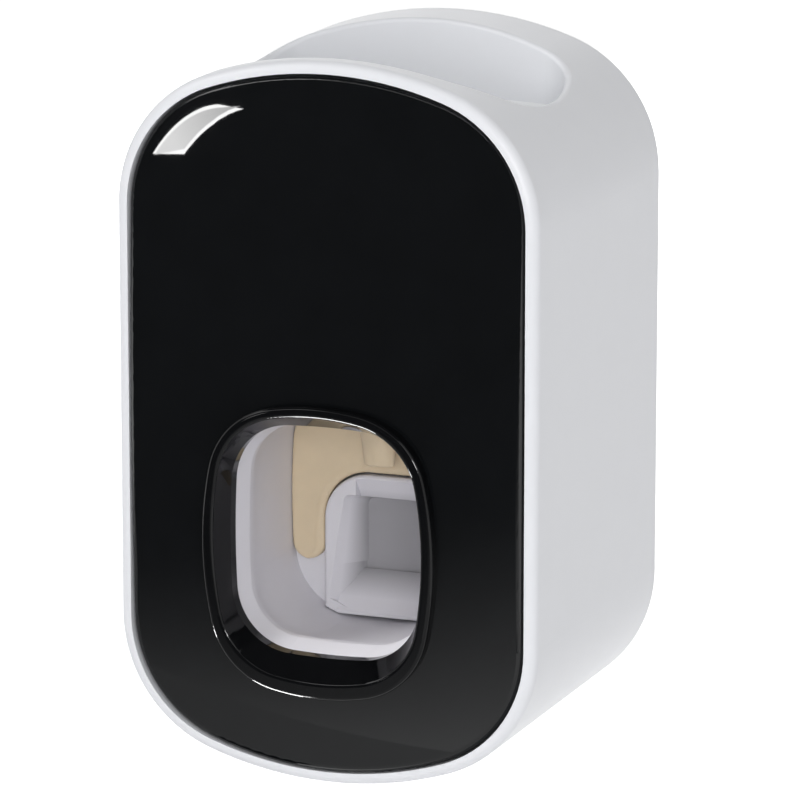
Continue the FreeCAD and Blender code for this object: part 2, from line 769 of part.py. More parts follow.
def recess_solid(grow):
    """The space of the pusher's recess, its back grown by grow to the sides and behind."""
    front = recess_outline(recess_half_top, recess_half_foot, recess_top_z, recess_foot_z, pusher_front_y)
    back_half = recess_back_half + grow
    back = recess_outline(back_half, back_half, recess_top_z - recess_top_bevel,
                          pusher_foot_z, pusher_front_y + recess_depth + grow)
    return Part.makeLoft([front, back], True, True)


def is_recess_corner(edge):
    """Whether an edge of the recess runs back from one of its upper front corners."""
    box = edge.BoundBox
    return box.YLength > recess_depth / 2 and box.ZMin > recess_top_z - 2 * recess_top_bevel


def ridge(profile, half_width):
    """A solid of one section in the plane x = 0, run out by half_width to both sides."""
    solid = Part.Face(Part.makePolygon(profile + profile[:1])).extrude(Vector(2 * half_width, 0, 0))
    solid.translate(Vector(-half_width, 0, 0))
    return solid


def make_pusher():
    """The cup that the brush head pushes. It turns on the pin behind its foot."""
    body = along_y(pusher_outline(0, 0, pusher_foot_z, pusher_front_y), pusher_depth)
    front = [edge for edge in edges_on_plane(body, pusher_front_y)
             if edge.BoundBox.ZMax > pusher_foot_z + 1]
    body = body.makeFillet(pusher_edge_fillet, front)
    recess = recess_solid(0)
    corners = [edge for edge in recess.Edges if is_recess_corner(edge)]
    body = body.cut(recess.makeFillet(recess_corner_round, corners))
    lower = block(-body_width, body_width, pusher_front_y, pusher_back_y, -body_height, recess_step_z)
    body = body.cut(recess_solid(recess_step_depth).common(lower))
    brow = [Vector(0, pusher_front_y, pusher_top_z - pusher_edge_fillet),
            Vector(0, pusher_front_y, recess_top_z - past),
            Vector(0, pusher_front_y + brow_depth, recess_top_z - past)]
    body = body.cut(ridge(brow, brow_half_width))
    profile = [Vector(0, pusher_front_y + recess_depth, toe_top_z),
               Vector(0, pusher_front_y - toe_reach, pusher_foot_z + toe_lip),
               Vector(0, pusher_front_y - toe_reach, pusher_foot_z),
               Vector(0, pusher_front_y + recess_depth, pusher_foot_z)]
    body = body.fuse(ridge(profile, toe_half_width))
    front_room = back_wall_front_y + hair - pusher_front_y + toe_reach + past
    outside = block(-body_width, body_width, pusher_front_y - toe_reach - past, back_wall_front_y + hair,
                    pusher_foot_z - body_height, pusher_top_z + body_height)
    inside = along_y(chamber_wire(-pusher_side_clearance, pusher_front_y - toe_reach - past), front_room)
    body = body.cut(outside.cut(inside))
    body = body.fuse(rod_x(knuckle_radius, pin_y, pin_z, -pusher_half_width, pusher_half_width))
    body = body.removeSplitter()
    body = body.cut(rod_x(pin_radius + pin_clearance, pin_y, pin_z, -body_width, body_width))
    room = spring_outer_radius() + seat_gap
    middle = spring_half_span() + seat_gap
    body = body.cut(rod_x(room, pin_y, pin_z, -middle, middle))
    slot_y = pin_y + spring_mean_radius() - spring_wire / 2 - seat_gap
    body = body.cut(block(-middle, middle, slot_y, pusher_back_y + past, pusher_foot_z - past,
                          pin_z + spring_leg + past))
    return body.removeSplitter()


def make_pusher_pin():
    """The steel hinge pin."""
    half = pusher_half_width + pusher_side_clearance + lug_thickness
    pin = rod_x(pin_radius, pin_y, pin_z, -half, half)
    ends = [edge for edge in pin.Edges if edge.Curve.TypeId == "Part::GeomCircle"]
    return pin.makeChamfer(pin_radius / 5, ends)


def spring_mean_radius():
    """Mean radius of the torsion spring's coil, clear of the pin."""
    return pin_radius + seat_gap + spring_wire / 2


def spring_outer_radius():
    """Outer radius of the torsion spring's coil."""
    return spring_mean_radius() + spring_wire / 2


def spring_lean():
    """How far the coil's direction leans along the pin, for each unit of length."""
    return spring_pitch / math.hypot(spring_pitch, 2 * math.pi * spring_mean_radius())


def spring_half_span():
    """Half the length of the spring along the pin, with its leaning leg."""
    return (spring_turns * spring_pitch + spring_wire) / 2 + spring_leg * spring_lean()


def spring_anchor_point(z):
    """The point of the spring's fixed leg at height z."""
    start, direction = coil_point(0.0)
    return start + direction * ((z - start.z) / direction.z)


def tangent_arc(start, direction, end):
    """The arc from start to end that leaves start along a direction."""
    chord = end - start
    along = Vector(direction)
    along.normalize()
    normal = chord.cross(along)
    side = along.cross(normal)
    side.normalize()
    radius = chord.dot(chord) / (2 * chord.dot(side))
    centre = start + side * radius
    middle = (start + end) * 0.5 - centre
    middle.normalize()
    return Part.Arc(start, centre + middle * abs(radius), end).toShape()


def biarc(start, start_direction, end, end_direction):
    """Two tangent arcs between two points with given directions."""
    chord = end - start
    both = start_direction + end_direction
    square = 2 * (1 - start_direction.dot(end_direction))
    linear = 2 * chord.dot(both)
    reach = (-linear + math.sqrt(linear ** 2 + 4 * square * chord.dot(chord))) / (2 * square)
    joint = (start + end + (start_direction - end_direction) * reach) * 0.5
    back = tangent_arc(end, end_direction * -1, joint)
    return [tangent_arc(start, start_direction, joint), back]


def coil_point(turn):
    """Point and direction on the torsion coil after a number of turns."""
    angle = 2 * math.pi * turn
    radius = spring_mean_radius()
    x = (turn - spring_turns / 2) * spring_pitch
    point = Vector(x, pin_y + radius * math.cos(angle), pin_z + radius * math.sin(angle))
    direction = Vector(spring_pitch / (2 * math.pi), -radius * math.sin(angle), radius * math.cos(angle))
    direction.normalize()
    return point, direction


def make_pusher_spring():
    """The torsion spring on the pin, one unbroken wire with two straight legs."""
    start, start_direction = coil_point(0.0)
    foot = start - start_direction * spring_anchor_leg
    edges = [Part.LineSegment(foot, start).toShape()]
    quarters = 4 * spring_turns
    for quarter in range(quarters):
        here = coil_point(quarter / 4)
        there = coil_point((quarter + 1) / 4)
        edges.extend(biarc(here[0], here[1], there[0], there[1]))
    end, end_direction = coil_point(float(spring_turns))
    edges.append(Part.LineSegment(end, end + end_direction * spring_leg).toShape())
    path = Part.Wire(Part.sortEdges(edges)[0])
    section = Part.Wire([Part.makeCircle(spring_wire / 2, foot, start_direction)])
    tube = Part.BRepOffsetAPI.MakePipeShell(path)
    tube.add(section)
    tube.build()
    tube.makeSolid()
    return Part.Solid(tube.shape())


def make_pump_bulb():
    """The soft dome that the pusher squeezes, with a flange in the pump's front."""
    tip_y = pusher_back_y + seat_gap
    foot_y = pump_front_y + bulb_flange_thickness
    rise = pump_front_y - tip_y
    ball_radius = (bulb_radius ** 2 + rise ** 2) / (2 * rise)
    centre = Vector(0, tip_y + ball_radius, bulb_centre_z)
    front = block(-body_width, body_width, tip_y - past, pump_front_y, -body_height, body_height)
    cap = Part.makeSphere(ball_radius, centre).common(front)
    hollow = Part.makeSphere(ball_radius - bulb_wall, centre)
    bore = rod_y(bulb_radius - 2 * bulb_wall, 0, bulb_centre_z, pump_front_y - past, foot_y + past)
    flange = rod_y(bulb_flange_radius, 0, bulb_centre_z, pump_front_y, foot_y)
    return cap.fuse(flange).cut(hollow.common(front)).cut(bore)


def make_bulb_retainer():
    """The ring that clamps the dome's flange."""
    outer = rod_y(bulb_flange_radius + retainer_width / 2, 0, bulb_centre_z,
                  pump_front_y - retainer_thickness, pump_front_y)
    return outer.cut(rod_y(bulb_radius + seat_gap, 0, bulb_centre_z,
                           pump_front_y - retainer_thickness - past, pump_front_y + past))


def make_pump_body():
    """The manifold over the chamber and the block behind it, with drilled passages."""
    rear = block(-pump_block_half_x, pump_block_half_x, pump_front_y, pump_back_y,
                 pump_foot_z, manifold_top_z)
    rear = round_edges(rear, Vector(0, 1, 0), post_radius)
    flange = block(-back_wall_half_x, back_wall_half_x, pump_front_y,
                   pump_front_y + pump_flange_thickness, pump_foot_z, post_top_z + post_radius)
    flange = round_edges(flange, Vector(0, 1, 0), post_radius)
    nose_y = nozzle_centre_y - manifold_nose
    manifold = block(-manifold_half_x, manifold_half_x, nose_y, pump_back_y,
                     manifold_foot_z, manifold_top_z)
    manifold = round_edges(manifold, Vector(0, 0, 1), manifold_nose / 2)
    shoulder_radius = cup_radius() + cup_shoulder
    shoulder = rod_z(shoulder_radius, 0, neck_centre_y, manifold_foot_z, well_floor_z)
    cup = rod_z(cup_radius(), 0, neck_centre_y, manifold_foot_z, cup_rim_z())
    spout = rod_z(spout_radius, 0, nozzle_centre_y, manifold_foot_z - spout_length, manifold_foot_z)
    pump = rear.fuse(flange).fuse(manifold).fuse(shoulder).fuse(cup).fuse(spout).removeSplitter()
    pump = pump.cut(rod_z(seal_outer_radius + slide_clearance, 0, neck_centre_y, manifold_top_z,
                          cup_rim_z() + past))
    pump = pump.cut(rod_y(bulb_flange_radius + slide_clearance, 0, bulb_centre_z, pump_front_y - past,
                          pump_front_y + bulb_flange_thickness))
    duct_z = (manifold_foot_z + manifold_top_z) / 2
    duct_y = pump_front_y + pump_block_depth / 2
    cavity = rod_y(bulb_radius - bulb_wall, 0, bulb_centre_z, pump_front_y, duct_y)
    pump = pump.cut(cavity)
    for side, end_y in ((-1, neck_centre_y), (1, nozzle_centre_y)):
        x = side * passage_half_pitch
        pump = pump.cut(rod_z(passage_radius, x, duct_y, bulb_centre_z, duct_z + passage_radius))
        pump = pump.cut(rod_y(passage_radius, x, duct_z, end_y, duct_y))
    pump = pump.cut(rod_z(passage_radius, -passage_half_pitch, neck_centre_y, duct_z, manifold_top_z + past))
    pump = pump.cut(rod_z(passage_radius, 0, nozzle_centre_y, manifold_foot_z - spout_length - past,
                          duct_z + passage_radius))
    for x, z in post_places:
        pump = pump.cut(rod_y(screw_radius + peg_clearance, x, z, pump_front_y - past,
                              pump_front_y + pump_flange_thickness + past))
    return pump.removeSplitter()


def cup_rim_z():
    """Height of the neck cup's rim."""
    return manifold_top_z + valve_thickness + neck_land + neck_flare


def make_pump_screws():
    """Four screws through the pump's flange into the chamber's posts."""
    head_y = pump_front_y + pump_flange_thickness
    return Part.makeCompound([screw(x, z, head_y, -1) for x, z in post_places])


def make_inlet_valve():
    """The flap valve under the tube's neck: a disc with a C-shaped slit."""
    disc = rod_z(seal_outer_radius, 0, neck_centre_y, manifold_top_z, manifold_top_z + valve_thickness)
    slit = rod_z(valve_flap_radius + valve_slit, 0, neck_centre_y, 0, collar_foot_z)
    slit = slit.cut(rod_z(valve_flap_radius, 0, neck_centre_y, 0, collar_foot_z))
    hinge = block(-valve_flap_radius / 2, valve_flap_radius / 2, neck_centre_y,
                  neck_centre_y + 2 * valve_flap_radius, 0, collar_foot_z)
    return disc.cut(slit.cut(hinge))


def make_neck_seal():
    """The soft ring that grips the tube's neck, with a flared way in."""
    foot_z = manifold_top_z + valve_thickness
    land_z = foot_z + neck_land
    rim_z = cup_rim_z()
    points = [Vector(neck_radius, neck_centre_y, foot_z), Vector(neck_radius, neck_centre_y, land_z),
              Vector(neck_radius + neck_flare, neck_centre_y, rim_z),
              Vector(seal_outer_radius, neck_centre_y, rim_z),
              Vector(seal_outer_radius, neck_centre_y, foot_z)]
    face = Part.Face(Part.makePolygon(points + points[:1]))
    return face.revolve(Vector(0, neck_centre_y, 0), Vector(0, 0, 1), 360)


def make_neck_collar():
    """The ring nut that holds the seal in its cup and the funnel on its shoulder."""
    foot_z = well_floor_z + well_floor_thickness
    inner = cup_radius() + slide_clearance
    top_z = cup_rim_z() + collar_nut_lip
    nut = rod_z(inner + collar_nut_wall, 0, neck_centre_y, foot_z, top_z)
    rim = [edge for edge in nut.Edges if edge.BoundBox.ZMin > top_z - hair]
    nut = nut.makeFillet(collar_nut_lip / 2, rim)
    nut = nut.cut(rod_z(inner, 0, neck_centre_y, foot_z - past, cup_rim_z()))
    return nut.cut(rod_z(neck_radius + neck_flare, 0, neck_centre_y, foot_z, top_z + past))


def nozzle_radius():
    """Outer radius of the nozzle's round end."""
    return spout_radius + slide_clearance + nozzle_wall


def make_nozzle():
    """The soft duckbill on the spout: round above, flattened at its tip."""
    bore_radius = spout_radius + slide_clearance
    slot_half_x = nozzle_tip_half_x - nozzle_wall / 2
    slot_half_y = nozzle_tip_half_y / 3
    outside = nozzle_loft(nozzle_radius(), nozzle_tip_half_x, nozzle_tip_half_y, 0)
    inside = nozzle_loft(bore_radius, slot_half_x, slot_half_y, past)
    return outside.cut(inside)


def nozzle_loft(radius, tip_half_x, tip_half_y, overrun):
    """A round tube that flattens to an oval tip, run past both its ends by overrun."""
    top_z = manifold_foot_z
    round_z = manifold_foot_z - spout_length
    places = [Vector(0, nozzle_centre_y, z) for z in (top_z + overrun, round_z, nozzle_tip_z)]
    up = Vector(0, 0, 1)
    sections = [Part.Wire([Part.makeCircle(radius, place, up)]) for place in places[:2]]
    sections.append(Part.Wire([ellipse_edge(tip_half_x, tip_half_y, places[2])]))
    solid = Part.makeLoft(sections, True, True)
    if overrun:
        tip = Part.Face(sections[2]).extrude(Vector(0, 0, -overrun))
        solid = solid.fuse(tip)
    return solid


def ellipse_edge(half_x, half_y, centre):
    """A level ellipse about a centre, longest along X."""
    return Part.Ellipse(centre + Vector(half_x, 0, 0), centre + Vector(0, half_y, 0), centre).toShape()


def make_nozzle_collar():
    """The ring that clamps the nozzle on the spout."""
    foot_z = manifold_foot_z - spout_length
    inner = nozzle_radius() + slide_clearance
    ring = rod_z(inner + nozzle_collar_wall, 0, nozzle_centre_y, foot_z, foot_z + nozzle_collar_height)
    return ring.cut(rod_z(inner, 0, nozzle_centre_y, foot_z - past, manifold_foot_z))


pieces = {
    "adhesive_pad": make_adhesive_pad,
    "wall_bracket": make_wall_bracket,
    "main_housing": make_main_housing,
    "back_plate": make_back_plate,
    "back_plate_screws": make_back_plate_screws,
    "tube_well": make_tube_well,
    "brush_chamber": make_brush_chamber,
    "deck_screws": make_deck_screws,
    "wiper_seal": make_wiper_seal,
    "pusher": make_pusher,
    "pusher_pin": make_pusher_pin,
    "pusher_spring": make_pusher_spring,
    "pump_body": make_pump_body,
    "pump_bulb": make_pump_bulb,
    "bulb_retainer": make_bulb_retainer,
    "pump_screws": make_pump_screws,
    "inlet_valve": make_inlet_valve,
    "neck_seal": make_neck_seal,
    "neck_collar": make_neck_collar,
    "nozzle": make_nozzle,
    "nozzle_collar": make_nozzle_collar,
    "fascia_panel": make_fascia_panel,
    "window_bezel": make_window_bezel,
    "cover_carrier": make_cover_carrier,
}

os.makedirs("parts", exist_ok=True)
for name, make in pieces.items():
    shape = make()
    shape.exportStep("parts/" + name + ".step")
    print(name, shape.isValid(), len(shape.Solids), round(shape.Volume, 1))
print("gap between the spring's turns", round(spring_pitch - spring_wire, 3))
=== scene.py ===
"""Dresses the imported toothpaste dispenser: finishes, soft pieces, stage, lights and camera."""
from __future__ import annotations

import logging
import math
from dataclasses import dataclass
from enum import Enum
from typing import Sequence

import bmesh
import bpy
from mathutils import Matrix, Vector


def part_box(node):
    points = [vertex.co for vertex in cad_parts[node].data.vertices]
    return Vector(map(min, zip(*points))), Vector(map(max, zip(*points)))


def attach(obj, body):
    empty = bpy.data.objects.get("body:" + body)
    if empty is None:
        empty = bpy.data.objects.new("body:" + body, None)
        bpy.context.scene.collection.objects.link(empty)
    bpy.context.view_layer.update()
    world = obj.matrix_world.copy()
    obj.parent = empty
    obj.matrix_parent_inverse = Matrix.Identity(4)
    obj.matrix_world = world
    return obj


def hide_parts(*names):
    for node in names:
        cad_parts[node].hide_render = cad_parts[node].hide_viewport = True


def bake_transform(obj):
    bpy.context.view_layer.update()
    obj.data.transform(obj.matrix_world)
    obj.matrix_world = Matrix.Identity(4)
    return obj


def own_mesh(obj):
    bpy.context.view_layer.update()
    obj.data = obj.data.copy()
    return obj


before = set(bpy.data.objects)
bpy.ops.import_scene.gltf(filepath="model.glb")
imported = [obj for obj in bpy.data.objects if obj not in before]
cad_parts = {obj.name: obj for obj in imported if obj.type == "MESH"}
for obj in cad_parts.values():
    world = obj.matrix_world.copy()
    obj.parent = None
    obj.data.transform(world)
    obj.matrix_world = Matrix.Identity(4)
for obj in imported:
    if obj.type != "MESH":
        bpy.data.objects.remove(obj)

LOG = logging.getLogger("dispenser")

# The part's lengths are in millimetres, and this turns them into the scene's metres
MM = 0.001

Colour = tuple[float, float, float]
Place = tuple[float, float, float]
Point = tuple[float, float]

# Most of a cloud texture lies between these values
CLOUD_LOW = 0.3
CLOUD_HIGH = 0.7


class Body(Enum):
    """The bodies that the modelled pieces ride on."""

    WALL_MOUNT = "wall_mount"
    DISPENSER = "dispenser"
    PUSHER_CUP = "pusher_cup"


class Axis(Enum):
    """The directions that a turned piece can have."""

    Y = "y"
    Z = "z"


class Head(Enum):
    """The forms of a screw's head."""

    PAN = "pan"
    FLUSH = "flush"


# Shader nodes

class ShaderSheet:
    """One material and the nodes that feed its shader."""

    def __init__(self, name: str) -> None:
        """Make an empty material with a principled shader.

        Args:
            name: the material's name.
        """
        self.material = bpy.data.materials.new(name)
        self.material.use_nodes = True
        self.tree = self.material.node_tree
        self.shader = next(node for node in self.tree.nodes if node.type == "BSDF_PRINCIPLED")
        place = self.tree.nodes.new("ShaderNodeTexCoord")
        self.place = place.outputs["Object"]

    def set(self, socket: str, value: float | Sequence[float]) -> None:
        """Set a shader socket to one value all over."""
        self.shader.inputs[socket].default_value = value

    def stretched(self, scale: Sequence[float]) -> bpy.types.NodeSocket:
        """Give object coordinates with each axis scaled.

        Args:
            scale: the factor along X, Y and Z.

        Returns:
            The scaled coordinates.
        """
        mapping = self.tree.nodes.new("ShaderNodeMapping")
        mapping.inputs["Scale"].default_value = scale
        self.tree.links.new(self.place, mapping.inputs["Vector"])
        return mapping.outputs["Vector"]

    def noise(self, size: float, detail: float = 2.0,
              place: bpy.types.NodeSocket | None = None) -> bpy.types.NodeSocket:
        """Add a cloud texture.

        Args:
            size: the size of one cloud in millimetres.
            detail: how many finer clouds lie on it.
            place: the coordinates to use, object coordinates if none are given.

        Returns:
            The cloud's value.
        """
        node = self.tree.nodes.new("ShaderNodeTexNoise")
        node.inputs["Scale"].default_value = 1.0 / (size * MM)
        node.inputs["Detail"].default_value = detail
        self.tree.links.new(place or self.place, node.inputs["Vector"])
        return node.outputs["Fac"]

    def cells(self, size: float) -> bpy.types.NodeSocket:
        """Add a texture of foam cells.

        Args:
            size: the size of one cell in millimetres.

        Returns:
            The distance from the middle of each cell.
        """
        node = self.tree.nodes.new("ShaderNodeTexVoronoi")
        node.inputs["Scale"].default_value = 1.0 / (size * MM)
        self.tree.links.new(self.place, node.inputs["Vector"])
        return node.outputs["Distance"]

    def vary(self, socket: str, value: bpy.types.NodeSocket, low: float, high: float) -> None:
        """Let a texture drive a shader socket between two limits.

        Args:
            socket: the shader socket.
            value: the texture's value.
            low: the socket's least value.
            high: the socket's greatest value.
        """
        node = self.tree.nodes.new("ShaderNodeMapRange")
        node.inputs["From Min"].default_value = CLOUD_LOW
        node.inputs["From Max"].default_value = CLOUD_HIGH
        node.inputs["To Min"].default_value = low
        node.inputs["To Max"].default_value = high
        self.tree.links.new(value, node.inputs["Value"])
        self.tree.links.new(node.outputs["Result"], self.shader.inputs[socket])

    def tint(self, value: bpy.types.NodeSocket, colour: Colour, swing: float) -> None:
        """Let a texture vary the base colour a little to both sides.

        Args:
            value: the texture's value.
            colour: the middle colour.
            swing: the share by which it turns lighter and darker.
        """
        ramp = self.tree.nodes.new("ShaderNodeValToRGB")
        stops = ((CLOUD_LOW, 1 - swing), (CLOUD_HIGH, 1 + swing))
        for element, (place, factor) in zip(ramp.color_ramp.elements, stops):
            element.position = place
            element.color = (*(min(1.0, part * factor) for part in colour), 1.0)
        self.tree.links.new(value, ramp.inputs["Fac"])
        self.tree.links.new(ramp.outputs["Color"], self.shader.inputs["Base Color"])

    def paint_recess_shade(self, recess_shade: PaintedRecessShade) -> None:
        """Paint shade into the base colour: darker from the front of a recess to its back, where shade
        falls.

        Args:
            recess_shade: the recess and the share of its colour left at its back by the painted shade.
        """
        colour = self.shader.inputs["Base Color"].links[0].from_socket
        axes = self.tree.nodes.new("ShaderNodeSeparateXYZ")
        depth = self.tree.nodes.new("ShaderNodeMapRange")
        depth.inputs["From Min"].default_value = recess_shade.front * MM
        depth.inputs["From Max"].default_value = recess_shade.back * MM
        depth.inputs["To Min"].default_value = 1.0
        depth.inputs["To Max"].default_value = recess_shade.share
        toned = self.tree.nodes.new("ShaderNodeVectorMath")
        toned.operation = "SCALE"
        self.tree.links.new(self.place, axes.inputs["Vector"])
        self.tree.links.new(axes.outputs["Y"], depth.inputs["Value"])
        self.tree.links.new(colour, toned.inputs["Vector"])
        self.tree.links.new(depth.outputs["Result"], toned.inputs["Scale"])
        self.tree.links.new(toned.outputs["Vector"], self.shader.inputs["Base Color"])

    def bump(self, value: bpy.types.NodeSocket, depth: float, strength: float) -> None:
        """Raise the surface by a texture.

        Args:
            value: the texture's value.
            depth: how deep it goes in millimetres.
            strength: how much of it shows.
        """
        node = self.tree.nodes.new("ShaderNodeBump")
        node.inputs["Distance"].default_value = depth * MM
        node.inputs["Strength"].default_value = strength
        self.tree.links.new(value, node.inputs["Height"])
        self.tree.links.new(node.outputs["Normal"], self.shader.inputs["Normal"])


# Finishes

@dataclass(frozen=True)
class PaintedRecessShade:
    """Painted shade in a recess along Y, in millimetres, and the share of the colour that is left at its
    back.
    """

    front: float
    back: float
    share: float


@dataclass(frozen=True)
class MouldedPlastic:
    """Injection-moulded plastic with a fine grain, a slightly uneven gloss and, where given, painted shade
    in a recess.
    """

    name: str
    colour: Colour
    roughness: float
    roughness_swing: float
    mottle: float
    grain_size: float
    grain_depth: float
    grain_detail: float = 1.0
    grain_strength: float = 0.6
    mottle_size: float = 9.0
    gloss_size: float = 3.0
    gloss_detail: float = 3.0
    specular: float = 0.5
    # Painted shade: darkens the colour towards the back of a recess
    recess_shade: PaintedRecessShade | None = None

    def material(self) -> bpy.types.Material:
        """Make the material.

        Returns:
            The material.
        """
        sheet = ShaderSheet(self.name)
        sheet.tint(sheet.noise(self.mottle_size), self.colour, self.mottle)
        # Paints shade into the recess, darker towards its back
        if self.recess_shade:
            sheet.paint_recess_shade(self.recess_shade)
        sheet.vary("Roughness", sheet.noise(self.gloss_size, self.gloss_detail),
                   self.roughness - self.roughness_swing, self.roughness + self.roughness_swing)
        sheet.bump(sheet.noise(self.grain_size, self.grain_detail), self.grain_depth, self.grain_strength)
        sheet.set("Specular IOR Level", self.specular)
        return sheet.material


@dataclass(frozen=True)
class Silicone:
    """Soft moulded rubber that lets a little light in."""

    name: str
    colour: Colour
    roughness: float
    mottle: float
    depth: float
    share: float
    cloud_detail: float = 3.0
    mottle_size: float = 4.0
    gloss_size: float = 1.5
    gloss_swing: float = 0.06
    grain_size: float = 0.25
    grain_detail: float = 4.0
    grain_depth: float = 0.02
    grain_strength: float = 0.5
    spread: Colour = (1.0, 0.8, 0.6)
    sheen: float = 0.08

    def material(self) -> bpy.types.Material:
        """Make the material.

        Returns:
            The material.
        """
        sheet = ShaderSheet(self.name)
        sheet.tint(sheet.noise(self.mottle_size, self.cloud_detail), self.colour, self.mottle)
        sheet.vary("Roughness", sheet.noise(self.gloss_size, self.cloud_detail),
                   self.roughness - self.gloss_swing, self.roughness + self.gloss_swing)
        sheet.bump(sheet.noise(self.grain_size, self.grain_detail), self.grain_depth, self.grain_strength)
        sheet.set("Subsurface Weight", self.share)
        sheet.set("Subsurface Radius", self.spread)
        sheet.set("Subsurface Scale", self.depth * MM)
        sheet.set("Sheen Weight", self.sheen)
        return sheet.material


@dataclass(frozen=True)
class BareSteel:
    """Drawn or turned steel with fine lines along one axis."""

    name: str
    colour: Colour
    roughness: float
    stretch: Place
    line_size: float = 0.6
    line_detail: float = 4.0
    line_depth: float = 0.002
    line_strength: float = 0.35
    mottle: float = 0.06
    mottle_size: float = 2.0
    mottle_detail: float = 3.0
    gloss_fall: float = 0.08
    gloss_rise: float = 0.10

    def material(self) -> bpy.types.Material:
        """Make the material.

        Returns:
            The material.
        """
        sheet = ShaderSheet(self.name)
        streaks = sheet.noise(self.line_size, self.line_detail, sheet.stretched(self.stretch))
        sheet.tint(sheet.noise(self.mottle_size, self.mottle_detail), self.colour, self.mottle)
        sheet.vary("Roughness", streaks, self.roughness - self.gloss_fall, self.roughness + self.gloss_rise)
        sheet.bump(streaks, self.line_depth, self.line_strength)
        sheet.set("Metallic", 1.0)
        return sheet.material


@dataclass(frozen=True)
class Foam:
    """Closed-cell foam tape."""

    name: str
    colour: Colour
    cell: float
    cell_depth: float = 0.12
    cell_strength: float = 0.8
    mottle: float = 0.08
    mottle_size: float = 2.5
    mottle_detail: float = 4.0
    roughness: Point = (0.82, 0.95)
    gloss_size: float = 1.0

    def material(self) -> bpy.types.Material:
        """Make the material.

        Returns:
            The material.
        """
        sheet = ShaderSheet(self.name)
        sheet.tint(sheet.noise(self.mottle_size, self.mottle_detail), self.colour, self.mottle)
        sheet.vary("Roughness", sheet.noise(self.gloss_size), *self.roughness)
        sheet.bump(sheet.cells(self.cell), self.cell_depth, self.cell_strength)
        return sheet.material


Finish = MouldedPlastic | Silicone | BareSteel | Foam

WHITE_GLOSS = MouldedPlastic("white_gloss_plastic", (0.80, 0.81, 0.84), 0.30, 0.015, 0.004, 14.0, 0.004)
WELL_WHITE = MouldedPlastic("well_white_plastic", (0.93, 0.94, 0.95), 0.30, 0.015, 0.004, 14.0, 0.004)
BLACK_GLOSS = MouldedPlastic("black_gloss_plastic", (0.0040, 0.0045, 0.0052), 0.014, 0.003, 0.10,
                             12.0, 0.0001)
BEZEL_GLOSS = MouldedPlastic("bezel_gloss_plastic", (0.0036, 0.0038, 0.0044), 0.045, 0.006, 0.10,
                             12.0, 0.0001, specular=0.24)
CHAMBER_WHITE = MouldedPlastic("chamber_plastic", (0.70, 0.69, 0.73), 0.36, 0.03, 0.006, 5.0, 0.003)
# The pusher's recess carries painted shade: its colour falls to 0.46 from the front to the back
PUSHER_GREY = MouldedPlastic("pusher_plastic", (0.72, 0.71, 0.75), 0.34, 0.03, 0.008, 5.0, 0.003,
                             recess_shade=PaintedRecessShade(-39.0, -35.0, 0.46))
INNER_PLASTIC = MouldedPlastic("inner_plastic", (0.70, 0.71, 0.73), 0.42, 0.04, 0.010, 4.0, 0.004)
CARRIER_BLACK = MouldedPlastic("carrier_plastic", (0.018, 0.018, 0.020), 0.45, 0.05, 0.08, 3.0, 0.006)
BRACKET_PLASTIC = MouldedPlastic("bracket_plastic", (0.66, 0.67, 0.70), 0.46, 0.05, 0.012, 2.0, 0.008)
CREAM_SILICONE = Silicone("cream_silicone", (0.70, 0.575, 0.40), 0.48, 0.02, 1.2, 0.12)
CLEAR_SILICONE = Silicone("clear_silicone", (0.74, 0.75, 0.74), 0.42, 0.02, 2.0, 0.30)
STEEL = BareSteel("bright_steel", (0.56, 0.56, 0.58), 0.28, (1.0, 0.05, 1.0))
PAD_FOAM = Foam("pad_foam", (0.70, 0.70, 0.68), 0.55)


# Meshes

def linked(name: str, mesh: bmesh.types.BMesh) -> bpy.types.Object:
    """Turn a finished mesh into a smooth-shaded object in the scene.

    Args:
        name: the piece's name.
        mesh: the mesh, which is freed.

    Returns:
        The new object.
    """
    bmesh.ops.recalc_face_normals(mesh, faces=mesh.faces)
    data = bpy.data.meshes.new(name)
    mesh.to_mesh(data)
    mesh.free()
    for polygon in data.polygons:
        polygon.use_smooth = True
    piece = bpy.data.objects.new(name, data)
    bpy.context.scene.collection.objects.link(piece)
    return piece


def skinned(mesh: bmesh.types.BMesh, rings: Sequence[Sequence[Vector]], closed: bool,
            around: bool = True) -> list[list[bmesh.types.BMVert]]:
    """Join rows of points into a skin of four-sided faces.

    Args:
        mesh: the mesh that gets the skin.
        rings: rows with the same number of points, in millimetres.
        closed: whether the last row joins the first.
        around: whether each row closes on itself.

    Returns:
        The skin's vertices, row by row.
    """
    rows = [[mesh.verts.new(point * MM) for point in ring] for ring in rings]
    pairs = list(zip(rows, rows[1:]))
    if closed:
        pairs.append((rows[-1], rows[0]))
    count = len(rows[0])
    steps = count if around else count - 1
    for near, far in pairs:
        for step in range(steps):
            after = (step + 1) % count
            mesh.faces.new((near[step], near[after], far[after], far[step]))
    return rows


def turned(name: str, profile: Sequence[Point], centre: Vector, axis: Axis,
           steps: int = 72) -> bpy.types.Object:
    """Turn a closed profile about an axis.

    Args:
        name: the piece's name.
        profile: radius and place along the axis of each corner, in millimetres.
        centre: a point on the axis, in millimetres.
        axis: the axis' direction.
        steps: how many faces go round.

    Returns:
        The turned piece.
    """
    mesh = bmesh.new()
    rings = []
    for radius, along in profile:
        ring = []
        for step in range(steps):
            angle = 2 * math.pi * step / steps
            across = (radius * math.cos(angle), radius * math.sin(angle))
            if axis is Axis.Y:
                ring.append(centre + Vector((across[0], along, across[1])))
            else:
                ring.append(centre + Vector((across[0], across[1], along)))
        rings.append(ring)
    skinned(mesh, rings, closed=True)
    return linked(name, mesh)


